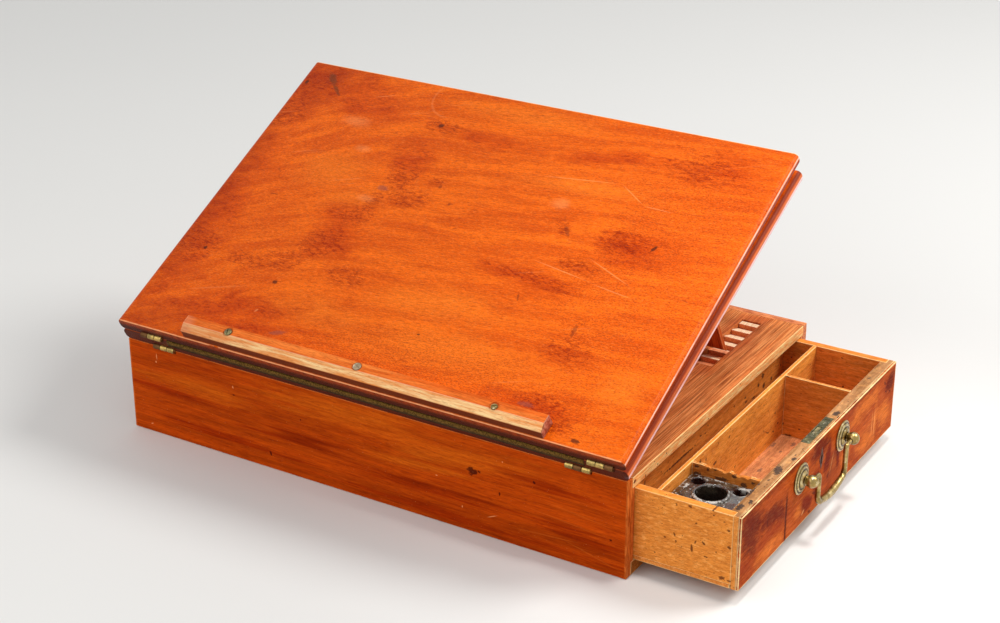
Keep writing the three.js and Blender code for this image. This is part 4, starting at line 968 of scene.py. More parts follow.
def notched_strip(hand, material):
    """A strip whose outline climbs along its land, drops at each upright stop and ramps up again."""
    front, back = FIRST_STOP - NOTCH_PITCH, FIRST_STOP + (NOTCHES - 1) * NOTCH_PITCH + NOTCH_LAND + NOTCH_DEPTH
    top = CASE_HEIGHT - STRIP_SUNK
    rule = Rule(f"notched_strip_{hand}", {
        "Notches": NOTCHES, "Pitch": NOTCH_PITCH, "Depth": NOTCH_DEPTH, "Land": NOTCH_LAND,
        "First stop": FIRST_STOP, "Front": front, "Back": back, "Foot": top - STRIP_THICKNESS, "Top": top,
        "Width": STRIP_WIDTH, "Centre": LEG_CENTRE * (-1 if hand == "left" else 1),
    })
    count = rule.size("Notches")
    ring = rule.node("GeometryNodeCurvePrimitiveCircle", {}, {"Resolution": count * 3 + 4})
    number = Number(rule, rule.node("GeometryNodeInputIndex").outputs[0])
    step = number - 3
    notch = count - 1 - (step / 3).floor()
    corner = step - (step / 3).floor() * 3
    stop = rule.size("First stop") + notch * rule.size("Pitch")
    ramped = corner.over(1.5)
    toothed_y = stop - ramped * (rule.size("Pitch") - rule.size("Land"))
    toothed_z = rule.size("Top") - corner.over(0.5) * (1 - ramped) * rule.size("Depth")
    tooth = number.over(2.5) * (1 - number.over(count * 3 + 2.5))
    end_y = rule.size("Front") + number.over(0.5) * (1 - number.over(2.5)) * (rule.size("Back") - rule.size("Front"))
    end_z = rule.size("Foot") + number.over(1.5) * (rule.size("Top") - rule.size("Foot"))
    place = rule.vector(
        tooth * toothed_y + (1 - tooth) * end_y, tooth * toothed_z + (1 - tooth) * end_z, 0.0
    )
    bent = rule.node("GeometryNodeSetPosition", {}, {0: ring.outputs[0], "Position": place})
    face = rule.node("GeometryNodeFillCurve", {"mode": "NGONS"}, {0: bent.outputs[0]})
    pushed = rule.node("GeometryNodeExtrudeMesh", {}, {
        0: face.outputs[0], "Offset": rule.vector(0.0, 0.0, rule.size("Width")), "Individual": False,
    })
    back_face = rule.node("GeometryNodeFlipFaces", {}, {0: face.outputs[0]})
    both = rule.node("GeometryNodeJoinGeometry")
    rule.tree.links.new(pushed.outputs[0], both.inputs[0])
    rule.tree.links.new(back_face.outputs[0], both.inputs[0])
    whole = rule.node("GeometryNodeMergeByDistance", {}, {0: both.outputs[0], "Distance": 0.001})
    stood = rule.node("GeometryNodeTransform", {}, {
        0: whole.outputs[0], "Rotation": (math.pi / 2, 0, math.pi / 2),
        "Translation": rule.vector(rule.size("Centre") - rule.size("Width") / 2, 0.0, 0.0),
    })
    mesh = rule.made(material, stood.outputs[0], f"notched_strip_{hand}")
    made = bmesh.new()
    made.from_mesh(mesh)
    bmesh.ops.recalc_face_normals(made, faces=made.faces)
    return eased(made, 0.18, 2)


class DESK_OT_case(bpy.types.Operator):
    """Walls, top, bottom and notched strips of the case"""

    bl_idname = "desk.case"
    bl_label = "Case"

    def execute(self, context):
        tint, arris = colours(), sizes().arris / MM
        front_colour = tuple(tint.front)
        wide = ((-HALF_LENGTH, -HALF_DEPTH, 0), (HALF_LENGTH, HALF_DEPTH, CASE_HEIGHT))
        front = wood(
            "case_front_wood", shaded(front_colour, 0.8), shaded(front_colour, 1.16), box=wide, figure=(150, 5),
            fibre=(12, 0.45), worn=linear(226, 128, 64), worn_width=0.4, tones=front_tones, marks=front_marks,
            coat=0.0, gloss=0.02, rough=(0.3, 0.42), pores=0.4, mottle=0.2, grain=0.38, streaks=0.3, relief=0.08,
        )
        made = eased(prism(wall_outline(-HALF_DEPTH, 1), -HALF_LENGTH, HALF_LENGTH), arris)
        made = carved(made, *lower_hinge_beds())
        piece("front_wall", made, front, "case", ["case_front"])

        rear = wood(
            "case_back_wood", shaded(front_colour, 0.74), shaded(front_colour, 1.2), Matrix.Translation((60, 0, 9)),
            box=((-HALF_LENGTH - 60, -HALF_DEPTH, -9), (HALF_LENGTH - 60, HALF_DEPTH, CASE_HEIGHT - 9)),
            figure=(130, 6), worn=linear(226, 132, 70), coat=0.12, pores=0.4, tones=front_tones,
            marks=back_marks,
        )
        made = eased(prism(wall_outline(HALF_DEPTH, -1), -HALF_LENGTH, HALF_LENGTH), arris)
        piece("back_wall", made, rear, "case", ["case_back"])

        side = wood(
            "case_side_wood", shaded(front_colour, 0.72), shaded(front_colour, 1.14), box=wide, along="Y",
            figure=(120, 6), worn=linear(226, 132, 70), coat=0.12,
            marks=stained(((-40, 30, 4, 3, 0), (70, 44, 3, 2, 0)), linear(60, 20, 12), face="YZ"),
        )
        reach = HALF_DEPTH - WALL - GLUE_LINE
        made = eased(prism(wall_outline(-HALF_LENGTH, 1), -reach, reach, "Y"), 0.15)
        piece("left_wall", made, side, "case", ["case_left"])

        low, high = extent("case_top")
        faded = tuple(tint.faded)
        top = wood(
            "case_top_wood", shaded(faded, 0.86), shaded(faded, 1.14), box=(low, high), along="Y",
            figure=(90, 5), fibre=(40, 0.5), pores=0.25, mottle=0.2, worn=linear(255, 216, 150), worn_width=0.4,
            tones=faded_tones, marks=stained((
                (-116, 60.5, 3, 2.4, 0), (-103, 57.5, 0.9, 3.4, 0), (-88, 58.5, 1.6, 1.0, 0), (-92, 62, 1.4, 0.9, 0),
                (-77, 60.5, 1.8, 0.9, 0), (-22, 58.4, 1.2, 0.9, 0), (22, 62.6, 1.2, 1.0, 0), (60, 61.4, 1.0, 0.7, 0),
            ), linear(70, 24, 16), 1.8, ((0.4, 0.03),), face="YZ"), coat=0.0, rough=(0.5, 0.64), relief=0.12,
        )
        made = eased(block(low, high), 0.3)
        cuts = list(lower_hinge_beds())
        strip_top = CASE_HEIGHT - STRIP_SUNK
        for hand in (-1, 1):
            box_low, box_high = extent("ratchet_left" if hand < 0 else "ratchet_right")
            grow = Vector((GLUE_LINE,) * 3)
            cuts.append(block(box_low - grow, Vector((box_high.x, box_high.y, strip_top + 4)) + grow))
        bolt_low, bolt_high = extent("lock_bolt")
        pull = 65.9
        cuts.append(block(
            (bolt_low.x - pull - 0.6, bolt_low.y - 0.6, CASE_HEIGHT - TOP - 2),
            (bolt_high.x - pull + 0.6, bolt_high.y + 0.6, bolt_high.z + 4.3),
        ))
        piece("top_panel", carved(made, *cuts), top, "case", ["case_top"])

        low, high = extent("case_bottom")
        pale = tuple(tint.pale)
        under = wood(
            "case_bottom_wood", shaded(pale, 0.5), shaded(pale, 0.92), box=(low, high), figure=(120, 9),
            pores=0.5, mottle=0.4, worn=linear(238, 180, 120), coat=0.0, rough=(0.55, 0.7),
            marks=stained(((-60, 20, 26, 14, 20), (90, -60, 18, 10, 0)), linear(96, 58, 34), 12.0, fade=0.4),
        )
        piece("bottom_panel", eased(block(low, high), 0.3), under, "case", ["case_bottom"])

        for hand in ("left", "right"):
            strip = strip_wood(f"strip_wood_{hand}")
            made = notched_strip(hand, strip)
            piece(f"notched_strip_{hand}", made, strip, "case", [f"ratchet_{hand}"])
        return {"FINISHED"}


def strip_wood(name):
    """The notched strips: cream where the ramps catch the light, as painted light; painted shade on the stops, in the
    notch bottoms and over the front notches but the first ramp; darker sides and specks of dirt.
    """
    f = Finish(name)
    place = f.places()
    x, y, z = f.parts(place)
    grain = f.noise(place, 3.0, 0.65, (1.0, 22, 1.0))
    wide = f.noise(place, 3.0, 0.65, (5, 4, 5))
    # Cream: painted light, where the ramps catch the light. Brown: the unlit wood.
    colour = f.mix(grain.ramp(0.3, 0.7), linear(236, 186, 136), linear(255, 236, 200))
    brown = f.mix(grain.ramp(0.3, 0.7), linear(196, 104, 56), linear(236, 148, 92))
    depth = (CASE_HEIGHT - STRIP_SUNK - z) / NOTCH_DEPTH
    stop = (y - FIRST_STOP + NOTCH_PITCH * 20 + 0.35) % NOTCH_PITCH
    # Painted shade on the upright stops, and over the front notches but the first ramp.
    riser_shade = 1 - stop.ramp(0.6, 0.8)
    front = 1 - (y + (wide - 0.5) * 3).ramp(61, 63)
    bare = abs(y - 45.6).ramp(1.6, 2.4)
    colour = f.mix(riser_shade.larger(front * bare), colour, brown)
    # Painted shade in the bottoms of the notches.
    low = (depth + (wide - 0.5) * 0.4).ramp(0.9, 1.1)
    colour = f.mix(low * 0.3, colour, linear(110, 50, 28))
    edge = abs(abs(x) - LEG_CENTRE).ramp(5.4, 6.8)
    colour = f.mix((edge + (wide - 0.5) * 0.8).ramp(0.3, 0.8) * 0.6, colour, linear(160, 84, 48))
    colour = f.mix(f.specks(place, 0.4, 0.08) * 0.5, colour, linear(110, 50, 30))
    return f.surface(colour, 0.6, grain, 0.08, 0.7, Specular_IOR_Level=0.3)


# ---------------------------------------------------------------------------------------------
# Boards, lining, ledge and prop


def nosed_board(under):
    """A board whose ends are rounded over and whose front and back edges are eased."""
    half, high, steps = BOARD_LENGTH / 2, under + BOARD, 8
    corners = (
        (half - NOSING, under + NOSING, -90), (half - NOSING, high - NOSING, 0),
        (-half + NOSING, high - NOSING, 90), (-half + NOSING, under + NOSING, 180),
    )
    points = []
    for x, z, start in corners:
        for i in range(steps + 1):
            turn = math.radians(start + 90 * i / steps)
            points.append((x + NOSING * math.cos(turn), z + NOSING * math.sin(turn)))
    return eased(prism(points, 0, BOARD_DEPTH, "Y"), EASE, 4)


def lining_outline(inset):
    half, back = BOARD_LENGTH / 2 - LINING_MARGIN - inset, BOARD_DEPTH - LINING_MARGIN - inset
    bay = HINGE_WIDTH + 3 + inset
    left, right, front = LINING_LEFT + inset, LINING_RIGHT - inset, EASE + inset
    return [
        (left, front), (right, front), (right, bay), (half, bay), (half, back), (-half, back),
        (-half, bay), (left, bay),
    ]


def lining_bed(low, high):
    return [
        prism(lining_outline(0), low, high, "Z"),
        block((LINING_LEFT, -2, low), (LINING_RIGHT, 2 * EASE, high)),
    ]


def prop_pockets():
    """The recess under the lower board that the folded prop lies in."""
    play, over = 0.6, 2.0
    ceiling = PROP_HEIGHT + PROP_ABOVE + 0.3

    def pocket(x0, x1, head, foot):
        rise = [ceiling + 1.5 * max(0, reach) / (PROP_FOOT + play) for reach in (head, foot)]
        start, end = PROP_REACH + head, PROP_REACH + foot
        return prism([(start, -over), (end, -over), (end, rise[1]), (start, rise[0])], x0, x1)

    head = -math.hypot(PROP_HEAD, PROP_BELOW)
    inner, outer = LEG_CENTRE - LEG_WIDTH / 2 - play, LEG_CENTRE + LEG_WIDTH / 2 + play
    foot = PROP_FOOT + play
    return [
        pocket(-outer, -inner, head, foot), pocket(inner, outer, head, foot),
        pocket(-inner - over, inner + over, head, TOP_RAIL[1] + play),
        pocket(-inner - over, inner + over, LOW_RAIL[0] - play, LOW_RAIL[1] + play),
    ]


def chipped(made, spots, seed):
    """Small bites out of an edge, each a lumpy ball in the table of x, y, z and radius."""
    chance = random.Random(seed)
    bites = []
    for x, y, z, radius in spots:
        ball = bmesh.new()
        bmesh.ops.create_icosphere(ball, subdivisions=2, radius=radius)
        for vert in ball.verts:
            vert.co *= 0.75 + 0.5 * chance.random()
            vert.co.x *= 1.7
        bites.append(placed(ball, Matrix.Translation((x, y, z))))
    return carved(made, *bites)


def board_wood(name, frame, under, worn, tones=None, marks=None):
    tint = colours()
    half = BOARD_LENGTH / 2
    box = ((-half, 0, under), (half, BOARD_DEPTH, under + BOARD))
    return wood(
        name, tuple(tint.deep), tuple(tint.mahogany), frame, figure=(80, 8), fibre=(6, 0.5), wave=6, pores=0.45,
        mottle=0.05, grain=0.34, streaks=0.1, bend=lambda run, side: run * 0.1 - ((-40 - run).larger(0.0) ** 2) * 0.0022, box=box,
        worn=worn, worn_width=0.7, worn_share=0.85, tones=tones, marks=marks, coat=0.04, gloss=0.08, rough=(0.3, 0.42), relief=0.1,
    )


def lower_board_marks(f, place, colour, roughness):
    """Pinkish, streaked ends, with painted shade at the top of their rounding and a painted highlight line along it,
    and a front edge in painted shade.
    """
    x, y, z = f.parts(place)
    rag = f.noise(place, 3.0, 0.6, (3, 22, 3)).ramp(0.3, 0.6)
    ends = abs(x).ramp(180.2, 181.6)
    colour = f.mix(ends * 0.5, colour, linear(206, 112, 80))
    # Painted shade at the top of the rounding, in the gap under the upper board.
    colour = f.mix(ends * z.ramp(6.4, 7.6) * 0.9, colour, linear(134, 40, 14))
    colour = f.mix(ends * band_of(z, 5.4, 0.6, 1.6) * rag * 0.5, colour, linear(216, 126, 66))
    streak = f.noise(place, 3.0, 0.6, (3, 40, 1.2)).ramp(0.5, 0.7) * ends
    colour = f.mix(streak * 0.6, colour, linear(120, 46, 26))
    # Painted highlight line along the rounding, stronger at the right end.
    colour = f.mix(ends * band_of(z, 3.6, 0.7, 1.4) * (rag * 0.4 + 0.6) * (x.ramp(-1.0, 1.0) * 0.7 + 0.3), colour, linear(248, 206, 204))
    # Painted shade on the front edge.
    front = 1 - y.ramp(0.0, 0.9)
    colour = f.mix(front * 0.94, colour, linear(62, 16, 8))
    return colour, roughness


class DESK_OT_boards(bpy.types.Operator):
    """The two hinged boards, with beds for the lining, the hinges and the folded prop"""

    bl_idname = "desk.boards"
    bl_label = "Boards"

    def execute(self, context):
        lower = board_wood("lower_board_wood", LOWER, BOARD_UNDER, linear(206, 108, 70), marks=lower_board_marks)
        cuts = [part for x in LOWER_HINGES.values() for part in hinge_bed(x, 1, BOARD_UNDER)]
        leaf_axis = Matrix.Translation((0, 0, BOARD_TOP + LEAF_GAP / 2))
        cuts += [
            placed(part, leaf_axis) for x in UPPER_HINGES.values() for part in hinge_bed(x, -1, LEAF_GAP / 2)
        ]
        prop_axis = Matrix.Translation((0, PROP_REACH, PROP_HEIGHT))
        cuts += [
            placed(part, prop_axis) for x in PROP_HINGES.values()
            for part in hinge_bed(
                x, 1, PROP_ABOVE - PROP_HINGE_THICKNESS, PROP_HINGE_LENGTH, PROP_HINGE_WIDTH,
                PROP_HINGE_THICKNESS, PROP_KNUCKLE, -1,
            )
        ]
        cuts += lining_bed(BOARD_TOP - LINING_RECESS, BOARD_TOP + 2)
        cuts += prop_pockets()
        cuts.append(block(
            (LINING_LEFT, -2, BOARD_TOP - HEM_DROP - GLUE_LINE),
            (LINING_RIGHT, HEM_THICKNESS + GLUE_LINE, BOARD_TOP + 2),
        ))
        made = carved(nosed_board(BOARD_UNDER), *cuts)
        piece("lower_board_wood", made, lower, "lower_board", ["lower_board"], LOWER)

        under = LEAF_GAP / 2
        upper = board_wood(
            "upper_board_wood", UPPER, under, linear(255, 186, 130), upper_board_tones, upper_board_marks
        )
        cuts = [part for x in UPPER_HINGES.values() for part in hinge_bed(x, 1, under)]
        cuts += lining_bed(-2, under + LINING_RECESS)
        made = carved(nosed_board(under), *cuts)
        top = under + BOARD
        made = chipped(made, (
            (-107, -0.5, top - 0.3, 1.3), (-103.5, -0.6, top + 0.2, 1.6), (-100, -0.5, top - 0.1, 1.1),
            (-62, -0.5, top + 0.1, 0.7), (38, -0.6, top + 0.1, 0.7), (121, -0.5, top + 0.2, 0.8),
            (181.6, 60, top + 0.9, 1.1), (181.9, 170, top + 0.9, 1.0),
        ), 7)
        piece("upper_board_wood", made, upper, "upper_board", ["upper_board"], UPPER)
        return {"FINISHED"}


def lining_sheet(inset, low, hem):
    """The baize as cut: a flat sheet, turned down over the front edge where hem is True."""
    outline = lining_outline(inset)
    made = bmesh.new()
    flat = made.faces.new([made.verts.new((x, y, low)) for x, y in outline])
    if flat.normal.z < 0:
        flat.normal_flip()
    if hem:
        left, right = LINING_LEFT + inset, LINING_RIGHT - inset
        front = EASE + inset
        bend, steps = 1.0, 5
        drop = [(front, low)]
        for i in range(steps + 1):
            turn = math.radians(90 * i / steps)
            drop.append((bend + 0.05 - bend * math.sin(turn), low - bend + bend * math.cos(turn)))
        drop.append((0.05, BOARD_TOP - HEM_DROP))
        columns = 120
        rows = []
        for j, (y, z) in enumerate(drop):
            row = []
            for i in range(columns + 1):
                x = left + (right - left) * i / columns
                fray = noise.noise((x * 0.16, 3.1, 0)) * 0.22 + noise.noise((x * 0.9, 7.7, 0)) * 0.12
                bulge = noise.noise((x * 0.08, z * 0.4, 5)) * 0.12 if 1 < j else 0
                last = j == len(drop) - 1
                row.append(made.verts.new((x, y - abs(bulge), z + (fray if last else 0))))
            rows.append(row)
        for first, second in zip(rows, rows[1:]):
            for i in range(columns):
                made.faces.new((first[i], second[i], second[i + 1], first[i + 1]))
    bmesh.ops.triangulate(made, faces=[face for face in made.faces if len(face.verts) > 4])
    return made


class DESK_OT_lining(bpy.types.Operator):
    """The baize that lines both boards, with the lower one's hem and its frayed threads"""

    bl_idname = "desk.lining"
    bl_label = "Lining"

    def execute(self, context):
        baize = tuple(colours().baize)
        thick = sizes().lining
        low = BOARD_TOP - LINING_RECESS + GLUE_LINE
        made = lining_sheet(GLUE_LINE, low, True)
        sheet = piece(
            "lower_lining", made, felt("lower_lining_felt", baize, LOWER), "lower_board", ["lower_baize"],
            LOWER, weighted=False,
        )
        self.thicken(sheet, thick)
        made = lining_sheet(GLUE_LINE, LEAF_GAP / 2 + LINING_RECESS - GLUE_LINE, False)
        bmesh.ops.reverse_faces(made, faces=made.faces)
        sheet = piece(
            "upper_lining", made, felt("upper_lining_felt", baize, UPPER), "upper_board", ["upper_baize"],
            UPPER, weighted=False,
        )
        self.thicken(sheet, thick)
        self.threads(baize)
        return {"FINISHED"}

    def thicken(self, sheet, thick):
        """Gives the cloth its thickness, away from the wood."""
        solid = sheet.modifiers.new("cloth", "SOLIDIFY")
        solid.thickness, solid.offset = thick, 1.0

    def threads(self, baize):
        """Short loose threads along the hem's lower edge."""
        length = LINING_RIGHT - LINING_LEFT - 4
        rule = Rule("hem_threads", {
            "Length": length, "Threads": 260, "Thread length": 1.5, "Thread radius": 0.07, "Left": LINING_LEFT + 2,
            "Foot": BOARD_TOP - HEM_DROP + 0.2,
        })
        line = rule.node("GeometryNodeMeshLine", {}, {
            "Count": rule.size("Threads"), "Start Location": rule.vector(rule.size("Left"), -0.25, rule.size("Foot")),
            "Offset": rule.vector(rule.size("Length") / rule.size("Threads"), 0.0, 0.0),
        })
        shift = rule.node("FunctionNodeRandomValue", {"data_type": "FLOAT_VECTOR"}, {
            "Min": (-0.9, -0.12, -0.2), "Max": (0.9, 0.1, 0.5), "Seed": 3,
        })
        loose = rule.node("GeometryNodeSetPosition", {}, {0: line.outputs[0], "Offset": shift.outputs[0]})
        thread = rule.node("GeometryNodeMeshCone", {}, {
            "Vertices": 4, "Radius Top": rule.size("Thread radius") * 0.4, "Radius Bottom": rule.size("Thread radius"),
            "Depth": rule.size("Thread length"),
        })
        turn = rule.node("FunctionNodeRandomValue", {"data_type": "FLOAT_VECTOR"}, {
            "Min": (2.7, -0.5, 0.0), "Max": (3.3, 0.5, 6.2), "Seed": 11,
        })
        size = rule.node("FunctionNodeRandomValue", {}, {2: 0.4, 3: 1.0, "Seed": 5})
        set_out = rule.node("GeometryNodeInstanceOnPoints", {}, {
            0: loose.outputs[0], "Instance": thread.outputs[0], "Rotation": turn.outputs[0], "Scale": size.outputs[1],
        })
        finish = felt("hem_threads_felt", blended(baize, linear(170, 150, 86), 0.4), LOWER)
        mesh = rule.made(finish, set_out.outputs[0], "hem_threads")
        piece("hem_threads", mesh, finish, "lower_board", [], LOWER, weighted=False)


def ledge_marks(f, place, colour, roughness):
    """A cream bevel, a painted highlight, an orange flat, the front face in painted shade, pinkish grey at the left end
    and greyish end grain at the right end, partly painted shade.
    """
    x, y, z = f.parts(place)
    foot = LEAF_GAP / 2 + BOARD + RUNNING
    back = LEDGE_SETBACK + LEDGE_BEVEL
    rag = (f.noise(place, 3.0, 0.65, (26, 3, 3)) - 0.5) * 2.2
    # Painted highlight: the bevel is cream where it catches the light.
    bevel = (1 - (y + rag * 0.3).ramp(back - 0.4, back + 0.3)) * z.ramp(foot + LEDGE_FRONT - 1.6, foot + LEDGE_FRONT - 0.4)
    tone = f.noise(place, 4.0, 0.65, (30, 2.4, 3))
    cream = f.mix(tone.ramp(0.35, 0.65), linear(236, 150, 82), linear(255, 218, 156))
    right = x.ramp(LEDGE_CENTRE + LEDGE_LENGTH / 2 - 0.6, LEDGE_CENTRE + LEDGE_LENGTH / 2 - 0.1)
    colour = f.mix(bevel * 0.92, colour, cream)
    near = 1 - (x / 60 + 1.9 + (tone - 0.5) * 2).ramp(0.0, 1.0)
    colour = f.mix(bevel * near * 0.5, colour, linear(220, 120, 62))
    pores = f.noise(place, 1.0, 0.5, (4.0, 0.4, 0.4)).ramp(0.56, 0.7)
    colour = f.mix(pores * 0.4, colour, linear(150, 66, 26))
    # Painted highlight along the arris between the bevel and the flat.
    line = 1 - abs(y - back - 0.2).ramp(0.1, 0.35)
    colour = f.mix(line * 0.35, colour, linear(255, 226, 180))
    end = f.spot(place, (LEDGE_CENTRE - LEDGE_LENGTH / 2, 5, foot + 4), (12, 14, 14)).ramp(0.1, 0.6)
    colour = f.mix(end * 0.45, colour, linear(214, 132, 96))
    # Painted shade on the upright front face below the bevel.
    front = (1 - y.ramp(LEDGE_SETBACK + 0.2, LEDGE_SETBACK + 0.7)) * (1 - z.ramp(foot + 4.6, foot + 5.8))
    colour = f.mix(front * 0.9, colour, linear(84, 28, 12))
    for sx, sy in LEDGE_SCREWS:
        halo = f.spot(place, (sx, sy, foot + LEDGE_HEIGHT), (5.4, 4.6, 5)).ramp(0.1, 0.5)
        colour = f.mix(halo * 0.25, colour, linear(150, 96, 50))
    # The right end: greyish end grain, darkened as painted shade.
    colour = f.mix(right * 0.8, colour, f.mix(tone.ramp(0.4, 0.6), linear(120, 52, 44), linear(178, 110, 92)))
    return colour, roughness + bevel * 0.12


class DESK_OT_ledge(bpy.types.Operator):
    """The book ledge along the upper board's front edge, and its three screws"""

    bl_idname = "desk.ledge"
    bl_label = "Ledge"

    def execute(self, context):
        foot = LEAF_GAP / 2 + BOARD + RUNNING
        back, top = LEDGE_SETBACK + LEDGE_WIDTH, foot + LEDGE_HEIGHT
        front = LEDGE_SETBACK
        nose = [
            (front + 0.7 - 0.7 * math.sin(math.radians(a)), foot + LEDGE_FRONT - 0.7 + 0.7 * math.cos(math.radians(a)))
            for a in (15, 40, 65, 90)
        ]
        outline = [(front, foot), (back, foot), (back - 0.6, top), (front + LEDGE_BEVEL, top), *nose]
        left = LEDGE_CENTRE - LEDGE_LENGTH / 2
        made = prism(outline, left, left + LEDGE_LENGTH)
        box = ((left, front, foot), (left + LEDGE_LENGTH, back, top))
        finish = wood(
            "ledge_wood", linear(236, 106, 34), linear(255, 140, 60), UPPER, figure=(80, 3), fibre=(12, 0.6), wave=2,
            pores=0.4, streaks=0.2, box=box, worn=linear(255, 206, 150), worn_width=0.4, marks=ledge_marks, coat=0.02,
            rough=(0.38, 0.52), relief=0.08,
        )
        made = eased(made, 0.35, 2)
        for x, y in LEDGE_SCREWS:
            bore = lathe([(0, -0.5), (3.2, -0.5), (3.3, 1), (0, 1)], 40)
            made = carved(made, placed(bore, Matrix.Translation((x, y, top))))
        piece("ledge_wood", made, finish, "upper_board", ["ledge"], UPPER)
        self.screws(top)
        return {"FINISHED"}

    def screws(self, top):
        """Each head differs: a domed one with a glint, a rubbed flat one, and a small bright one."""
        tint = tuple(colours().steel)
        kinds = (
            ("dome", 2.5, 1.0, linear(150, 138, 88), 20), ("flat", 2.7, 0.5, linear(178, 152, 120), 65),
            ("small", 2.1, 0.8, linear(150, 126, 66), 110),
        )
        for i, ((x, y), (kind, radius, height, colour, turn)) in enumerate(zip(LEDGE_SCREWS, kinds)):
            profile = [(0, -0.45), (radius, -0.45), (radius, 0.05)]
            profile += [
                (radius * math.cos(math.radians(a)) ** 0.8, 0.05 + height * math.sin(math.radians(a)))
                for a in (10, 22, 36, 50, 64, 78)
            ]
            profile.append((0, 0.05 + height))
            head = lathe(profile, 48)
            slot = placed(
                block((-0.33, -4, height * 0.35), (0.33, 4, 4)), Matrix.Rotation(math.radians(turn), 4, "Z")
            )
            made = placed(carved(head, slot), Matrix.Translation((x, y, top)))
            finish = aged_metal(
                f"ledge_screw_{i + 1}_metal", blended(colour, tint, 0.15), UPPER, 0.7, (0.36, 0.6),
                (60, 46, 26), (206, 192, 150), 0.7,
            )
            piece(f"ledge_screw_head_{i + 1}", made, finish, "upper_board", [f"ledge_screw_{i + 1}"], UPPER)


def leaf_screws(name, x, width, plane, side, to, body, frame, length, material, radius=None):
    """Countersunk screws set out along a hinge's leaf, each slot turned its own way."""
    rule = Rule(f"{name}_rule", {
        "Screws": sizes().screws, "Spread": length * 0.66, "Radius": radius or sizes().screw_head / MM,
        "Stagger": width * 0.14, "Left": x - length * 0.33, "Row": to * width * 0.62, "Plane": plane,
    })
    line = rule.node("GeometryNodeMeshLine", {}, {
        "Count": rule.size("Screws"), "Start Location": rule.vector(rule.size("Left"), rule.size("Row"), rule.size("Plane")),
        "Offset": rule.vector(rule.size("Spread") / (rule.size("Screws") - 1).larger(1), 0.0, 0.0),
    })
    number = Number(rule, rule.node("GeometryNodeInputIndex").outputs[0])
    stagger = rule.node("GeometryNodeSetPosition", {}, {
        0: line.outputs[0], "Offset": rule.vector(0.0, (number % 2) * rule.size("Stagger"), 0.0),
    })
    head = rule.node("GeometryNodeMeshCylinder", {}, {
        "Vertices": 20, "Side Segments": 1, "Radius": rule.size("Radius"), "Depth": 0.24,
    })
    slot = rule.node("GeometryNodeMeshCube", {}, {
        "Size": rule.vector(rule.size("Radius") * 3, rule.size("Radius") * 0.24, 0.5),
    })
    raised = rule.node("GeometryNodeTransform", {}, {0: slot.outputs[0], "Translation": (0, 0, 0.27 * side)})
    slotted = rule.node("GeometryNodeMeshBoolean", {"operation": "DIFFERENCE"}, {0: head.outputs[0], 1: raised.outputs[0]})
    turn = rule.node("FunctionNodeRandomValue", {"data_type": "FLOAT_VECTOR"}, {
        "Min": (0, 0, 0), "Max": (0, 0, 3.1), "Seed": 17,
    })
    heads = rule.node("GeometryNodeInstanceOnPoints", {}, {
        0: stagger.outputs[0], "Instance": slotted.outputs[0], "Rotation": turn.outputs[0],
    })
    mesh = rule.made(material, heads.outputs[0], name)
    piece(name, mesh, material, body, [], frame, weighted=False)


def hinge_half(x, side, reach, outer, length, width, thick, radius, pin, to=1):
    """A leaf with its knuckles: two at the ends for the outer half, or one between them."""
    third, end, gap = length / 6, length / 2, RUNNING / 2
    spans = [[-end, -third - gap], [third + gap, end]] if outer else [[-third + gap, third - gap]]
    low, high = (reach, reach + thick) if side > 0 else (-reach - thick, -reach)
    near, far = (radius * 0.6, width) if to > 0 else (-width, -radius * 0.6)
    parts = [eased(block((x - length / 2, near, low), (x + length / 2, far, high)), 0.12, 2)]
    for start, stop in spans:
        ease = radius * 0.14
        ring = [(pin, 0), (radius - ease, 0), (radius - ease * 0.3, ease * 0.3), (radius, ease)]
        size = stop - start
        ring += [(r, size - h) for r, h in reversed(ring)]
        barrel = lathe([*ring, ring[0]], 40, "X")
        parts.append(placed(barrel, Matrix.Translation((x + start, 0, 0))))
        web = (0.0, radius * 0.75) if to > 0 else (-radius * 0.75, 0.0)
        parts.append(eased(block((x + start, web[0] + pin * to * 1.3 if to > 0 else web[0], low),
                                 (x + stop, web[1] if to > 0 else web[1] - pin * 1.3, high)), 0.05, 1))
    return joined(*parts)


def hinge_pin(x, length, pin):
    """A pin with rounded ends that show in the outer knuckles."""
    half = length / 2 + 0.12
    profile = [(0, -half), (pin * 0.7, -half), (pin, -half + pin * 0.3), (pin, half - pin * 0.3), (pin * 0.7, half), (0, half)]
    return placed(lathe(profile, 24, "X"), Matrix.Translation((x, 0, 0)))


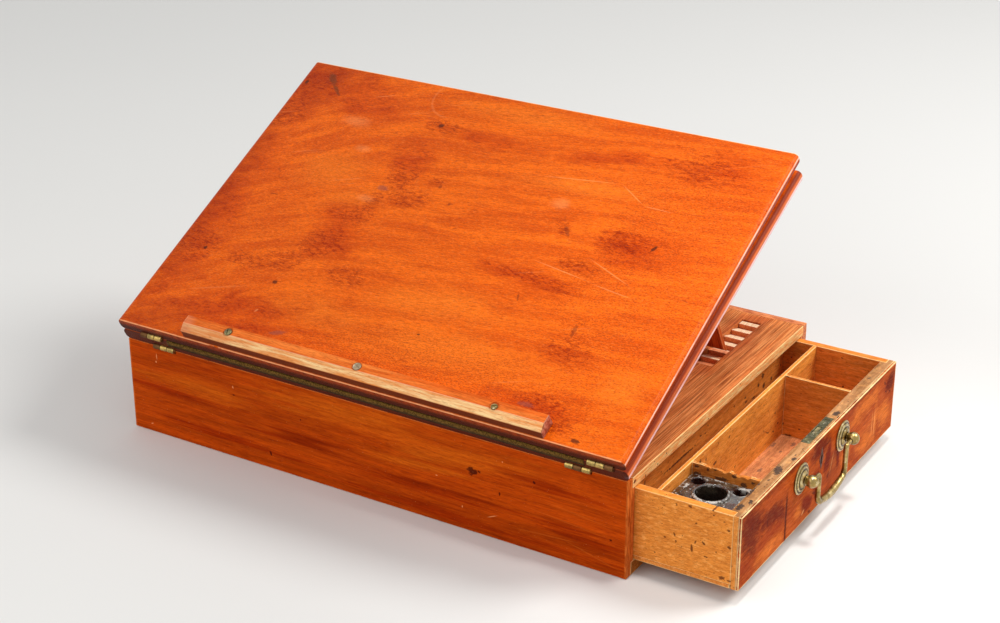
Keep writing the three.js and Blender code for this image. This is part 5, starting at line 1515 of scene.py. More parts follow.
class DESK_OT_hinges(bpy.types.Operator):
    """The butt hinges of the boards, with their pins and screws"""

    bl_idname = "desk.hinges"
    bl_label = "Hinges"

    def execute(self, context):
        brass = tuple(colours().brass)
        board = (HINGE_LENGTH, HINGE_WIDTH, HINGE_THICKNESS, KNUCKLE, HINGE_PIN)
        for hand, x in LOWER_HINGES.items():
            metal = hinge_metal(f"lower_hinge_{hand}_metal", brass, LOWER, x, {"left": 0, "right": 1}[hand])
            still = Matrix.Translation(LOWER_AT)
            case_metal = hinge_metal(f"case_hinge_{hand}_metal", brass, still, x, {"left": 0, "right": 1}[hand])
            made = hinge_half(x, -1, BOARD_UNDER, True, *board)
            piece(f"case_hinge_half_{hand}", made, case_metal, "case", [f"case_hinge_leaf_{hand}"], still)
            made = joined(hinge_half(x, 1, BOARD_UNDER, False, *board), hinge_pin(x, HINGE_LENGTH, HINGE_PIN))
            piece(
                f"board_hinge_half_{hand}", made, metal, "lower_board",
                [f"board_hinge_leaf_{hand}", f"board_hinge_pin_{hand}"], LOWER,
            )
        for hand, x in UPPER_HINGES.items():
            axis = LOWER @ Matrix.Translation((0, 0, BOARD_TOP + LEAF_GAP / 2))
            low_metal = hinge_metal(f"leaf_hinge_low_{hand}_metal", brass, axis, x, {"left": 2, "right": 3}[hand])
            high_metal = hinge_metal(f"leaf_hinge_high_{hand}_metal", brass, UPPER, x, {"left": 2, "right": 3}[hand])
            made = hinge_half(x, -1, LEAF_GAP / 2, True, *board)
            piece(f"leaf_hinge_low_{hand}", made, low_metal, "lower_board", [f"leaf_hinge_lower_{hand}"], axis)
            made = joined(hinge_half(x, 1, LEAF_GAP / 2, False, *board), hinge_pin(x, HINGE_LENGTH, HINGE_PIN))
            piece(
                f"leaf_hinge_high_{hand}", made, high_metal, "upper_board",
                [f"leaf_hinge_upper_{hand}", f"leaf_hinge_pin_{hand}"], UPPER,
            )
            leaf_screws(
                f"leaf_screws_low_{hand}", x, HINGE_WIDTH, -LEAF_GAP / 2 - 0.06, 1, 1, "lower_board", axis,
                HINGE_LENGTH, low_metal,
            )
            leaf_screws(
                f"leaf_screws_high_{hand}", x, HINGE_WIDTH, LEAF_GAP / 2 + 0.06, -1, 1, "upper_board", UPPER,
                HINGE_LENGTH, high_metal,
            )
        return {"FINISHED"}


def hinge_metal(name, brass, frame, x, wear):
    """Hinge brass. Wear picks which of its knuckles are rubbed bright and which are dark and red."""
    f = Finish(name)
    place = f.places(frame)
    px, y, z = f.parts(place)
    along = (px - x) / (HINGE_LENGTH / 3)
    cloud = f.noise(place, 3.0, 0.6, (4,) * 3)
    grain = f.noise(place, 3.0, 0.7, (0.8,) * 3)
    middle = 1 - abs(along).ramp(0.42, 0.56)
    left, right = 1 - along.ramp(-0.56, -0.42), along.ramp(0.42, 0.56)
    dark = {0: left * 1.0, 1: middle * 0.8, 2: left * 1.0, 3: right * 0.7}[wear]
    made = f.mix(cloud.ramp(0.35, 0.65), shaded(brass, 0.62), linear(204, 172, 98))
    made = f.mix((dark + (grain - 0.5) * 0.6).ramp(0.3, 0.7) * 0.85, made, linear(88, 44, 26))
    made = f.mix(grain.ramp(0.56, 0.7) * 0.35, made, linear(90, 76, 40))
    return f.surface(
        made, cloud * 0.25 + 0.24 + dark * 0.2, grain * 0.5 + cloud * 0.3, 0.05, 0.7, Metallic=0.9,
    )


class DESK_OT_prop(bpy.types.Operator):
    """The folding frame that holds the slope, and its hinges"""

    bl_idname = "desk.prop"
    bl_label = "Prop"

    def execute(self, context):
        low, high = -PROP_BELOW, PROP_ABOVE
        # Both colours are brightened as painted light, for the prop stands in the shade of the boards.
        dark, light = linear(166, 62, 22), linear(226, 108, 46)
        inner, outer = LEG_CENTRE - LEG_WIDTH / 2, LEG_CENTRE + LEG_WIDTH / 2
        side = [(PROP_HEAD, low), (PROP_FOOT - PROP_TOE, low), (PROP_FOOT, high), (PROP_HEAD, high)]
        box = ((-outer, PROP_HEAD, low), (outer, PROP_FOOT, high))
        leg = wood(
            "prop_leg_wood", dark, light, PROP, along="Y", figure=(60, 4), box=box, worn=linear(220, 132, 84),
            worn_width=0.6, rough=(0.36, 0.5), coat=0.04, mottle=0.3,
            marks=stained((), linear(40, 18, 12), specks=((0.5, 0.04),)),
        )
        for hand, sign in (("left", -1), ("right", 1)):
            start, stop = sorted((sign * inner, sign * outer))
            made = eased(prism(side, start, stop), 0.3, 2)
            piece(f"prop_leg_{hand}_wood", made, leg, "prop", [f"prop_leg_{hand}"], PROP)
        rail = wood(
            "prop_rail_wood", dark, light, PROP, figure=(70, 4), box=box, worn=linear(214, 124, 78),
            worn_width=0.5, rough=(0.36, 0.5), coat=0.04, mottle=0.3,
        )
        half = inner - GLUE_LINE
        bed = PROP_ABOVE - PROP_HINGE_THICKNESS - GLUE_LINE
        for name, (start, stop) in (("prop_top_rail", TOP_RAIL), ("prop_low_rail", LOW_RAIL)):
            made = eased(block((-half, start, low), (half, stop, high)), 0.3, 2)
            if name == "prop_top_rail":
                ends = PROP_HINGE_LENGTH / 2 + RUNNING
                made = carved(made, *(
                    block((x - ends, -1, bed), (x + ends, PROP_HINGE_WIDTH + RUNNING, high + 1))
                    for x in PROP_HINGES.values()
                ))
            piece(f"{name}_wood", made, rail, "prop", [name], PROP)
        size = (PROP_HINGE_LENGTH, PROP_HINGE_WIDTH, PROP_HINGE_THICKNESS, PROP_KNUCKLE, PROP_PIN)
        axis = LOWER @ Matrix.Translation((0, PROP_REACH, PROP_HEIGHT))
        reach = PROP_ABOVE - PROP_HINGE_THICKNESS
        brass = tuple(colours().brass)
        for hand, x in PROP_HINGES.items():
            metal = aged_metal(f"prop_hinge_{hand}_metal", brass, axis, 0.7)
            made = hinge_half(x, 1, reach, True, *size, to=-1)
            piece(f"prop_hinge_board_{hand}", made, metal, "lower_board", [f"prop_hinge_board_leaf_{hand}"], axis)
            made = joined(hinge_half(x, 1, reach, False, *size), hinge_pin(x, PROP_HINGE_LENGTH, PROP_PIN))
            piece(
                f"prop_hinge_{hand}", made, metal, "prop",
                [f"prop_hinge_leaf_{hand}", f"prop_hinge_pin_{hand}"], PROP,
            )
            leaf_screws(
                f"prop_screws_board_{hand}", x, PROP_HINGE_WIDTH, reach + 0.05, -1, -1, "lower_board", axis,
                PROP_HINGE_LENGTH, metal, 0.9,
            )
            leaf_screws(
                f"prop_screws_rail_{hand}", x, PROP_HINGE_WIDTH, PROP_ABOVE - 0.05, 1, 1, "prop", PROP,
                PROP_HINGE_LENGTH, metal, 0.9,
            )
        return {"FINISHED"}


# ---------------------------------------------------------------------------------------------
# Drawer


def rubbed_tones(f, place, colour):
    """Light rubs, flecks and brown patches on bare wood."""
    wide = f.noise(place, 4.0, 0.65, (14, 14, 9))
    rub = f.noise(place, 5.0, 0.72, (5, 5, 2)).ramp(0.48, 0.66)
    colour = f.mix(rub * 0.3, colour, linear(255, 184, 110))
    colour = f.mix(wide.ramp(0.55, 0.7) * 0.36, colour, (0.74, 0.56, 0.44), "MULTIPLY")
    flecks = f.noise(place, 3.0, 0.7, (1.6, 1.6, 1.0)).ramp(0.56, 0.7)
    colour = f.mix(flecks * 0.28, colour, (0.6, 0.42, 0.32), "MULTIPLY")
    side = abs(f.parts(place)[1]).ramp(114.4, 114.9)
    return f.mix(side * 0.85, colour, f.mix(rub, linear(234, 144, 60), linear(252, 174, 90)))


def pale_wood(name, dark, light, low, high, along="X", marks=None, **more):
    """The drawer's unpolished wood, with pale arrises, rubbed and lit as a painted highlight."""
    settings = {
        "figure": (60, 5), "fibre": (6, 0.7), "wave": 6, "pores": 0.5, "mottle": 0.14, "coat": 0.0, "grain": 0.3,
        "tones": rubbed_tones,
        "worn": linear(255, 220, 152), "worn_width": 0.5, "rough": (0.46, 0.6), "relief": 0.06, **more,
    }
    return wood(name, dark, light, box=(low, high), along=along, marks=marks, **settings)


# Ink and dirt on the drawer's pieces: the plane it lies in, then rows of place, radii and turn
INK_FACES = {
    "drawer_side_near": ("XZ", (
        (219, 28, 1.3, 4.4, 3), (221, 32.6, 1.0, 2.2, -20), (208, 33.5, 1.1, 2.6, 20), (226, 33.2, 2.6, 1.3, -40),
        (208.5, 53, 0.9, 1.7, 20), (217, 54.4, 2.2, 1.8, 0), (231, 56, 1.4, 1.6, 0), (231.5, 53, 1.1, 0.9, 0),
        (241.5, 35.4, 2.4, 1.7, 0), (241, 46, 1.8, 1.4, 0), (238, 50.6, 1.4, 0.7, 15), (234, 30, 0.7, 1.2, 0),
        (238, 14.6, 3.4, 2.6, 0), (243, 14, 2.8, 1.2, 0), (221, 44.6, 1.4, 1.2, 40), (228, 25, 1.6, 1.2, 0),
        (209, 29.5, 1.0, 1.2, 0), (202, 30, 1.4, 0.9, 0), (196, 18, 1.2, 0.8, 0),
    )),
    "compartment_divider": ("YZ", (
        (-39, 40, 4.6, 1.9, 0), (-20.5, 49, 2.6, 1.5, 10), (-52, 48.5, 1.3, 2.6, 0), (47.5, 35, 1.7, 1.7, 0),
        (37, 25.6, 4.2, 0.9, -24), (46, 22.6, 3.4, 1.2, -16), (31.5, 29, 2.0, 0.6, -50), (52.5, 25.5, 1.8, 1.2, 0),
        (-10, 24, 2.6, 1.2, 20), (-30, 32, 1.6, 0.8, 0), (-60, 50, 3, 4, 0), (-66, 46, 3, 5, 0), (-36, 52, 1, 1.4, 0),
    )),
    "pen_tray_divider": ("YZ", (
        (-85, 42, 1.0, 4.6, 0), (-64, 39.2, 1.6, 0.9, 0), (-34, 39, 1.3, 1.0, 0), (-12, 39.5, 2.8, 1.1, 0),
        (-5, 38, 1.8, 1.1, 0), (-2, 42, 1.4, 1.0, 0), (36, 38.6, 1.8, 1.1, 0), (52, 37.5, 2.8, 1.5, 0),
        (54, 34, 3.4, 2.0, 0), (65, 32, 3.8, 1.4, 0), (72, 38, 2.6, 3.8, 0), (78, 42, 4, 4, 0), (80.5, 34, 3.2, 3.6, 0),
        (92, 34, 2.4, 3.0, 0), (106, 38, 0.7, 2, 0), (-40, 36, 40, 1.6, 0), (-70, 47, 1.2, 0.9, 0),
    )),
    "far_partition": ("XZ", ((208, 21, 1.6, 0.8, 0), (196.8, 22, 0.8, 1.6, 0), (201, 14.8, 6, 0.9, 0), (198, 55.6, 2.4, 0.8, 0))),
    "drawer_side_far": ("XZ", ((216, 32, 1.6, 1.4, 0), (194, 31, 3, 0.7, 0), (214, 52, 1.2, 0.8, 0))),
    "ink_partition": ("XZ", (
        (206.3, 53.6, 1.3, 2.0, 0), (223, 53.8, 2.4, 2.2, 0), (199, 54, 3.4, 1.8, 0), (211, 54.6, 1.6, 1.0, 0),
        (215, 50, 9, 2.6, 0), (200, 49, 5, 3, 0), (229, 50, 4, 3, 0), (235, 53, 2, 1.4, 0), (218, 56, 3, 0.8, 0),
    )),
}


class DESK_OT_drawer(bpy.types.Operator):
    """The drawer's front, sides, bottom, dividers and partitions"""

    bl_idname = "desk.drawer"
    bl_label = "Drawer"

    def execute(self, context):
        self.box_pieces()
        self.front()
        return {"FINISHED"}

    def box_pieces(self):
        pale = tuple(colours().pale)
        ink = tuple(colours().ink)
        # The number after each piece scales its pale wood; above 1 it is painted light, for walls that lie in shade
        # inside the drawer.
        for name, along, tint in (
            ("drawer_side_near", "X", 1.3), ("drawer_side_far", "X", 1.1), ("drawer_back", "Y", 0.9),
            ("compartment_divider", "Y", 1.3), ("pen_tray_divider", "Y", 1.25),
            ("ink_partition", "X", 0.8), ("far_partition", "X", 1.2),
        ):
            low, high = extent(name)
            face, table = INK_FACES.get(name, ("YZ" if along == "Y" else "XZ", ()))
            bend = (lambda run, side: run * 0.14) if name == "drawer_side_near" else None
            finish = pale_wood(
                f"{name}_wood", shaded(pale, tint * 0.8), shaded(pale, tint * 1.14), low, high, along,
                stained(table, linear(66, 26, 18) if bend else ink, 1.8, ((0.42, 0.05), (0.8, 0.02)), face=face, fade=0.8),
                bend=bend, worn_share=0.5 if bend else 0.8,
            )
            made = self.ragged(low, high) if name == "ink_partition" else eased(block(low, high), 0.28, 2)
            piece(f"{name}_wood", made, finish, "drawer", [name])

        low, high = extent("drawer_bottom")
        floor_low = Vector((low.x, low.y, low.z))
        salmon = linear(228, 150, 98)
        finish = pale_wood(
            "drawer_floor_wood", shaded(salmon, 0.62), shaded(salmon, 1.06), floor_low, high, "Y",
            stained((
                (205, 38, 1.4, 3, 0), (197.5, 44, 2.2, 6, 0), (208, 52, 2.4, 6, 0), (204, 10, 2, 5, 0), (222, 30, 4, 3, 0),
                (208, -60, 8, 5, 0), (230, -10, 3, 6, 0), (182, -30, 4, 8, 0), (184, 40, 3, 9, 0),
            ), linear(92, 66, 54), 3.0, ((0.5, 0.05),), fade=0.7),
        )
        edge = 2.4
        inner_side = 109.6
        back = extent("drawer_back")[1].x + GLUE_LINE
        made = joined(
            eased(block(low, Vector((high.x, high.y, low.z + edge))), 0.2, 1),
            block((back, -inner_side + GLUE_LINE, low.z + 0.01), (CORE_INNER - GLUE_LINE, inner_side - GLUE_LINE, high.z)),
        )
        piece("drawer_floor_wood", made, finish, "drawer", ["drawer_bottom"])

    def ragged(self, low, high):
        """The thin partition beside the inkwell, whose top edge is chewed and broken down."""
        made = bmesh.new()
        across, up = 40, 10
        sheets = []
        for y in (low.y, high.y):
            grid = []
            for i in range(across + 1):
                share = i / across
                x = low.x + (high.x - low.x) * share
                bite = 0.9 + 1.3 * noise.noise((x * 0.22, y * 0.2, 2.0)) + 0.6 * noise.noise((x * 0.9, y, 4.0))
                top = high.z - max(0.0, bite) * (1.2 if 0.25 < share < 0.85 else 0.5)
                grid.append([made.verts.new((x, y, low.z + (top - low.z) * j / up)) for j in range(up + 1)])
            sheets.append(grid)
        near, far = sheets
        for i in range(across):
            for j in range(up):
                made.faces.new((near[i][j], near[i + 1][j], near[i + 1][j + 1], near[i][j + 1]))
                made.faces.new((far[i][j], far[i][j + 1], far[i + 1][j + 1], far[i + 1][j]))
            made.faces.new((near[i][up], near[i + 1][up], far[i + 1][up], far[i][up]))
            made.faces.new((near[i][0], far[i][0], far[i + 1][0], near[i + 1][0]))
        for j in range(up):
            made.faces.new((near[0][j], near[0][j + 1], far[0][j + 1], far[0][j]))
            made.faces.new((near[across][j], far[across][j], far[across][j + 1], near[across][j + 1]))
        bmesh.ops.recalc_face_normals(made, faces=made.faces)
        return made

    def front(self):
        ink = tuple(colours().ink)
        low, high = extent("drawer_front")
        core = pale_wood(
            "drawer_core_wood", linear(144, 98, 56), linear(196, 146, 98), low, high, "Y",
            stained((
                (242.8, -55, 4.6, 10.4, 12), (245.2, -38, 2.4, 5.0, 0), (243, -68, 1.6, 2.6, -30), (244.6, -96, 2.0, 5.6, 20),
                (242, -104, 3.0, 7.0, 0), (244, 28, 3.2, 6.0, 0),
                (240.4, -86, 1.3, 14, 0), (241.6, -103, 1.4, 5, 0), (240, -76, 1.2, 3, 0), (244, -33, 1.0, 2.4, 0),
                (242.6, 83, 1.1, 4.4, -18), (247, 85, 0.8, 1.4, 0), (246.6, 24, 0.8, 3.6, 0), (243, 26.5, 1.9, 3.0, 0),
                (244.6, -24, 0.8, 1.6, 0),
            ), linear(46, 38, 36), 1.8, ((0.4, 0.14), (0.8, 0.08), (1.6, 0.05))), worn=linear(250, 214, 156),
            worn_width=0.25, worn_share=0.4, grain=0.12, pores=0.3,
        )
        side_inner = 109.6
        lap = CORE_X - 2.9 + GLUE_LINE
        cuts = []
        for hand in (-1, 1):
            a, b = sorted((hand * (side_inner - GLUE_LINE), hand * 118))
            cuts.append(block((CORE_INNER - 2, a, DRAWER_FOOT - 2), (lap, b, DRAWER_TOP + 2)))
        lock_low, lock_high = extent("lock_case")
        plate_low, plate_high = extent("lock_plate")
        grow = GLUE_LINE
        cuts.append(block(
            (CORE_INNER - 2, lock_low.y - grow, lock_low.z - grow), (lock_high.x + grow, lock_high.y + grow, DRAWER_TOP + 2)
        ))
        cuts.append(block(
            (CORE_INNER - 2, plate_low.y - grow, plate_low.z - grow), (plate_high.x + grow, plate_high.y + grow, DRAWER_TOP + 2)
        ))
        cuts.append(block((CORE_INNER - 2, -118, DRAWER_FOOT - 2), (FACE_X - 5.5 + grow, 118, DRAWER_FOOT + 2.4 + grow)))
        made = carved(eased(block(low, high), 0.25, 2), *cuts)
        piece("drawer_core_wood", made, core, "drawer", ["drawer_front"])

        low, high = extent("drawer_facing")
        red = wood(
            "drawer_facing_wood", linear(166, 62, 16), linear(200, 92, 28), box=(low, high), along="Y",
            figure=(60, 7), fibre=(9, 0.7), wave=7, pores=0.4, mottle=0.2, grain=0.3, worn=linear(255, 222, 160),
            worn_width=0.75, worn_share=0.92, tones=facing_tones, marks=facing_marks, coat=0.0, gloss=0.01, rough=(0.34, 0.48),
        )
        lozenge = [(KEYHOLE_Y + a, KEYHOLE_Z - 1.25 + b) for a, b in ((0, -7.65), (3.35, 0), (0, 7.65), (-3.35, 0))]
        made = carved(
            eased(block(low, high), 0.35, 3), prism(lozenge, FACE_X - 0.95, FACE_X + 2), *self.keyhole(low.x - 1, FACE_X + 2)
        )
        piece("drawer_facing_wood", made, red, "drawer", ["drawer_facing"])

        lozenge = [(KEYHOLE_Y + a, KEYHOLE_Z - 1.25 + b) for a, b in ((0, -7.5), (3.2, 0), (0, 7.5), (-3.2, 0))]
        made = eased(prism(lozenge, FACE_X - 0.8, FACE_X + 0.12), 0.1, 2)
        made = carved(made, *self.keyhole(FACE_X - 3, FACE_X + 3))
        f = Finish("escutcheon_horn")
        place = f.places()
        cloud = f.noise(place, 3.0, 0.6, (3,) * 3)
        colour = f.mix(cloud.ramp(0.35, 0.65), linear(60, 32, 26), linear(112, 76, 62))
        y, z = f.parts(place)[1:]
        rubbed = abs(z - KEYHOLE_Z + 1.25).ramp(4.0, 7.0)
        colour = f.mix(rubbed * 0.25, colour, linear(170, 132, 112))
        horn = f.surface(colour, cloud * 0.2 + 0.45, cloud, 0.04, 0.6, Specular_IOR_Level=0.1)
        piece("escutcheon_lozenge", made, horn, "drawer", ["escutcheon"])

    def keyhole(self, start, end):
        round_part = [
            (KEYHOLE_Y + 1.4 * math.cos(a), KEYHOLE_Z + 1.4 * math.sin(a)) for a in (math.tau * i / 28 for i in range(28))
        ]
        half = 0.65
        slot = [(KEYHOLE_Y - half, KEYHOLE_Z - 5), (KEYHOLE_Y + half, KEYHOLE_Z - 5), (KEYHOLE_Y + half, KEYHOLE_Z), (KEYHOLE_Y - half, KEYHOLE_Z)]
        return prism(round_part, start, end), prism(slot, start, end)


class DESK_OT_inkwell(bpy.types.Operator):
    """The block of glass with its lipped well and pen holes, and the dried ink in it"""

    bl_idname = "desk.inkwell"
    bl_label = "Inkwell"

    def execute(self, context):
        low, high = extent("inkwell")
        lip = 1.5
        top = high.z - lip
        middle = (low + high) / 2
        cut = 2.2
        x0, y0, x1, y1 = low.x, low.y, high.x, high.y
        points = [
            (x0 + cut, y0), (x1 - cut, y0), (x1, y0 + cut), (x1, y1 - cut), (x1 - cut, y1), (x0 + cut, y1),
            (x0, y1 - cut), (x0, y0 + cut),
        ]
        body = eased(prism(points, low.z, top, "Z"), 1.3, 3)
        centre = Matrix.Translation((middle.x, middle.y, top))
        ring = [(0, -1)] + [
            (8.8 + 1.15 + 1.35 * math.cos(math.radians(a)), 0.15 + 1.35 * math.sin(math.radians(a)))
            for a in (-40, -10, 20, 50, 80, 100, 130, 160)
        ] + [(8.6, 0.4), (0, 0.4)]
        whole = placed(lathe(ring, 96), centre)
        well = lathe([
            (0, -26), (6.2, -26), (7.8, -25), (8.6, -22.5), (8.8, -19), (8.8, -1.5), (8.95, 0.6), (9.3, 1.3), (10.2, 3), (0, 3),
        ], 96)
        holes = [placed(well, centre)]
        for side in (-1, 1):
            hole = lathe([(0, -17), (2.6, -16.4), (3.9, -14), (4.2, -11), (4.2, -0.6), (4.6, 0.1), (5.4, 2), (0, 2)], 64)
            holes.append(placed(hole, Matrix.Translation((middle.x + side * 13.2, middle.y + 11.2, top))))
        made = self.united(body, whole)
        made = carved(made, *holes)
        glass = self.glass()
        piece("inkwell_glass", made, glass, "drawer", ["inkwell"], flat=28)

        f = Finish("dried_ink")
        place = f.places()
        crust = f.noise(place, 4.0, 0.7, (2,) * 3)
        colour = f.mix(crust.ramp(0.4, 0.7), linear(22, 14, 14), linear(58, 40, 34))
        dried = f.surface(colour, crust * 0.4 + 0.3, crust, 0.3, 1.0)
        pool = lathe([(0, -25.9), (6.1, -25.9), (7.7, -24.9), (8.5, -22.5), (8.55, -21.2), (7.4, -21.9), (3, -22.4), (0, -22.5)], 48)
        piece("inkwell_dregs", placed(pool, centre), dried, "drawer", [])
        return {"FINISHED"}

    def united(self, first, second):
        body, other = spare_object(first), spare_object(second)
        join = body.modifiers.new("join", "BOOLEAN")
        join.operation, join.solver, join.object = "UNION", "EXACT", other
        mesh = bpy.data.meshes.new_from_object(body.evaluated_get(bpy.context.evaluated_depsgraph_get()))
        bpy.data.objects.remove(body)
        bpy.data.objects.remove(other)
        made = bmesh.new()
        made.from_mesh(mesh)
        return made

    def glass(self):
        """Old grey-green glass, brown with dried ink inside, dusty and chipped on top, with painted glints on the top,
        along the edges and round the holes' rims.
        """
        low, high = extent("inkwell")
        f = Finish("inkwell_glass")
        place = f.places()
        x, y, z = f.parts(place)
        cloud = f.noise(place, 4.0, 0.65, (7,) * 3)
        ripple = f.noise(place, 3.0, 0.6, (2.4,) * 3)
        colour = f.mix(cloud.ramp(0.4, 0.66), linear(34, 26, 20), linear(88, 78, 62))
        middle = (low + high) / 2
        inside = f.spot(place, (middle.x, middle.y, high.z - 14), (10.2, 10.2, 90)).ramp(0.04, 0.2)
        colour = f.mix(inside * 0.9, colour, linear(36, 20, 16))
        for side in (-1, 1):
            hole = f.spot(place, (middle.x + side * 13.2, middle.y + 11.2, high.z - 8), (5.4, 5.4, 60)).ramp(0.04, 0.24)
            colour = f.mix(hole * 0.85, colour, linear(56, 22, 16))
        # Pale patches on the top: dust and chips, and painted glints where the light catches it.
        chips = f.spots(place, (
            (199, -102, 4, 5, 20), (233, -75, 5, 3, 0), (228, -106, 7, 2.4, 10), (201, -88, 2, 7, 0), (236, -92, 2, 8, 0),
            (214, -73.5, 7, 1.6, 0),
        ))
        dust_and_glints = (chips * 0.7 + (ripple - 0.5) * 2.6).ramp(0.28, 0.5) * z.ramp(high.z - 6, high.z - 2)
        colour = f.mix(dust_and_glints * (1 - inside) * 0.75, colour, linear(216, 212, 202))
        # Painted glints along the block's edges and round the rims of the well and the pen holes.
        edge = 1 - f.arris(place, low, high - Vector((0, 0, 1.5))).ramp(0.6, 1.8)
        for dx, dy, radius in ((0.0, 0.0, 10.6), (-13.2, 11.2, 4.9), (13.2, 11.2, 4.9)):
            out = ((x - middle.x - dx) ** 2 + (y - middle.y - dy) ** 2) ** 0.5
            edge = edge.larger(band_of(out, radius, 0.3, 1.1) * cloud.ramp(0.48, 0.6))
        colour = f.mix(edge * ripple.ramp(0.42, 0.54) * 0.7, colour, linear(226, 222, 212))
        return f.surface(
            colour, ripple * 0.14 + 0.03 + dust_and_glints * 0.3, ripple * 0.7 + cloud * 0.3, 0.9, 1.0, IOR=1.5,
            Specular_IOR_Level=0.9, Coat_Weight=1.0, Coat_Roughness=0.03, Transmission_Weight=0.15,
        )


class DESK_OT_lock(bpy.types.Operator):
    """The lock let into the drawer's front, with its plate and bolt"""

    bl_idname = "desk.lock"
    bl_label = "Lock"

    def execute(self, context):
        olive = linear(84, 78, 42)
        plate = aged_metal("lock_plate_brass", olive, WORLD, 0.5, (0.34, 0.5), (44, 44, 24), (150, 142, 96), 0.75)
        low, high = extent("lock_plate")
        bolt_low, bolt_high = extent("lock_bolt")
        room = Vector((RUNNING, RUNNING, 0))
        slot = block(bolt_low - room - Vector((0, 0, 2)), bolt_high + room + Vector((0, 0, 5)))
        made = carved(eased(block(low, high), 0.2, 2), slot)
        for y in (low.y + 3.2, high.y - 3.2):
            hole = placed(lathe([(0, -0.5), (1.5, -0.5), (1.9, 0.6), (0, 0.6)], 32), Matrix.Translation(((low.x + high.x) / 2, y, high.z)))
            made = carved(made, hole)
        piece("lock_plate_brass", made, plate, "drawer", ["lock_plate"])
        heads = []
        for y, turn in ((low.y + 3.2, 25), (high.y - 3.2, 100)):
            head = lathe([(0, -0.45), (1.3, -0.45), (1.65, -0.08), (0, -0.02)], 32)
            cut = placed(block((-0.2, -3, -0.22), (0.2, 3, 1)), Matrix.Rotation(math.radians(turn), 4, "Z"))
            heads.append(placed(carved(head, cut), Matrix.Translation(((low.x + high.x) / 2, y, high.z))))
        piece("lock_plate_screws", joined(*heads), plate, "drawer", [])

        low, high = extent("lock_case")
        rivets = [
            placed(lathe([(0, -0.1), (1.0, -0.1), (0.9, 0.28), (0.5, 0.4), (0, 0.44)], 20, "X"), Matrix.Rotation(0, 4, "X"))
            for _ in range(4)
        ]
        body = eased(block(low, high), 0.25, 2)
        body = carved(body, block(bolt_low - room - Vector((0, 0, 2)), bolt_high + room + Vector((0, 0, 5))))
        for rivet, (y, z) in zip(rivets, ((-11, 37), (15, 37), (-11, 51), (15, 51))):
            placed(rivet, Matrix.Translation((low.x, y, z)) @ Matrix.Rotation(math.pi, 4, "Z"))
        made = joined(body, *rivets)
        piece("lock_case_brass", made, aged_metal("lock_case_metal", olive, WORLD, 0.4, bright=(150, 142, 96)), "drawer", ["lock_case"])
        made = eased(block(bolt_low, bolt_high), 0.2, 2)
        piece("lock_bolt_brass", made, aged_metal("lock_bolt_metal", linear(140, 126, 80), WORLD, 0.4), "lock_bolt", ["lock_bolt"])
        return {"FINISHED"}


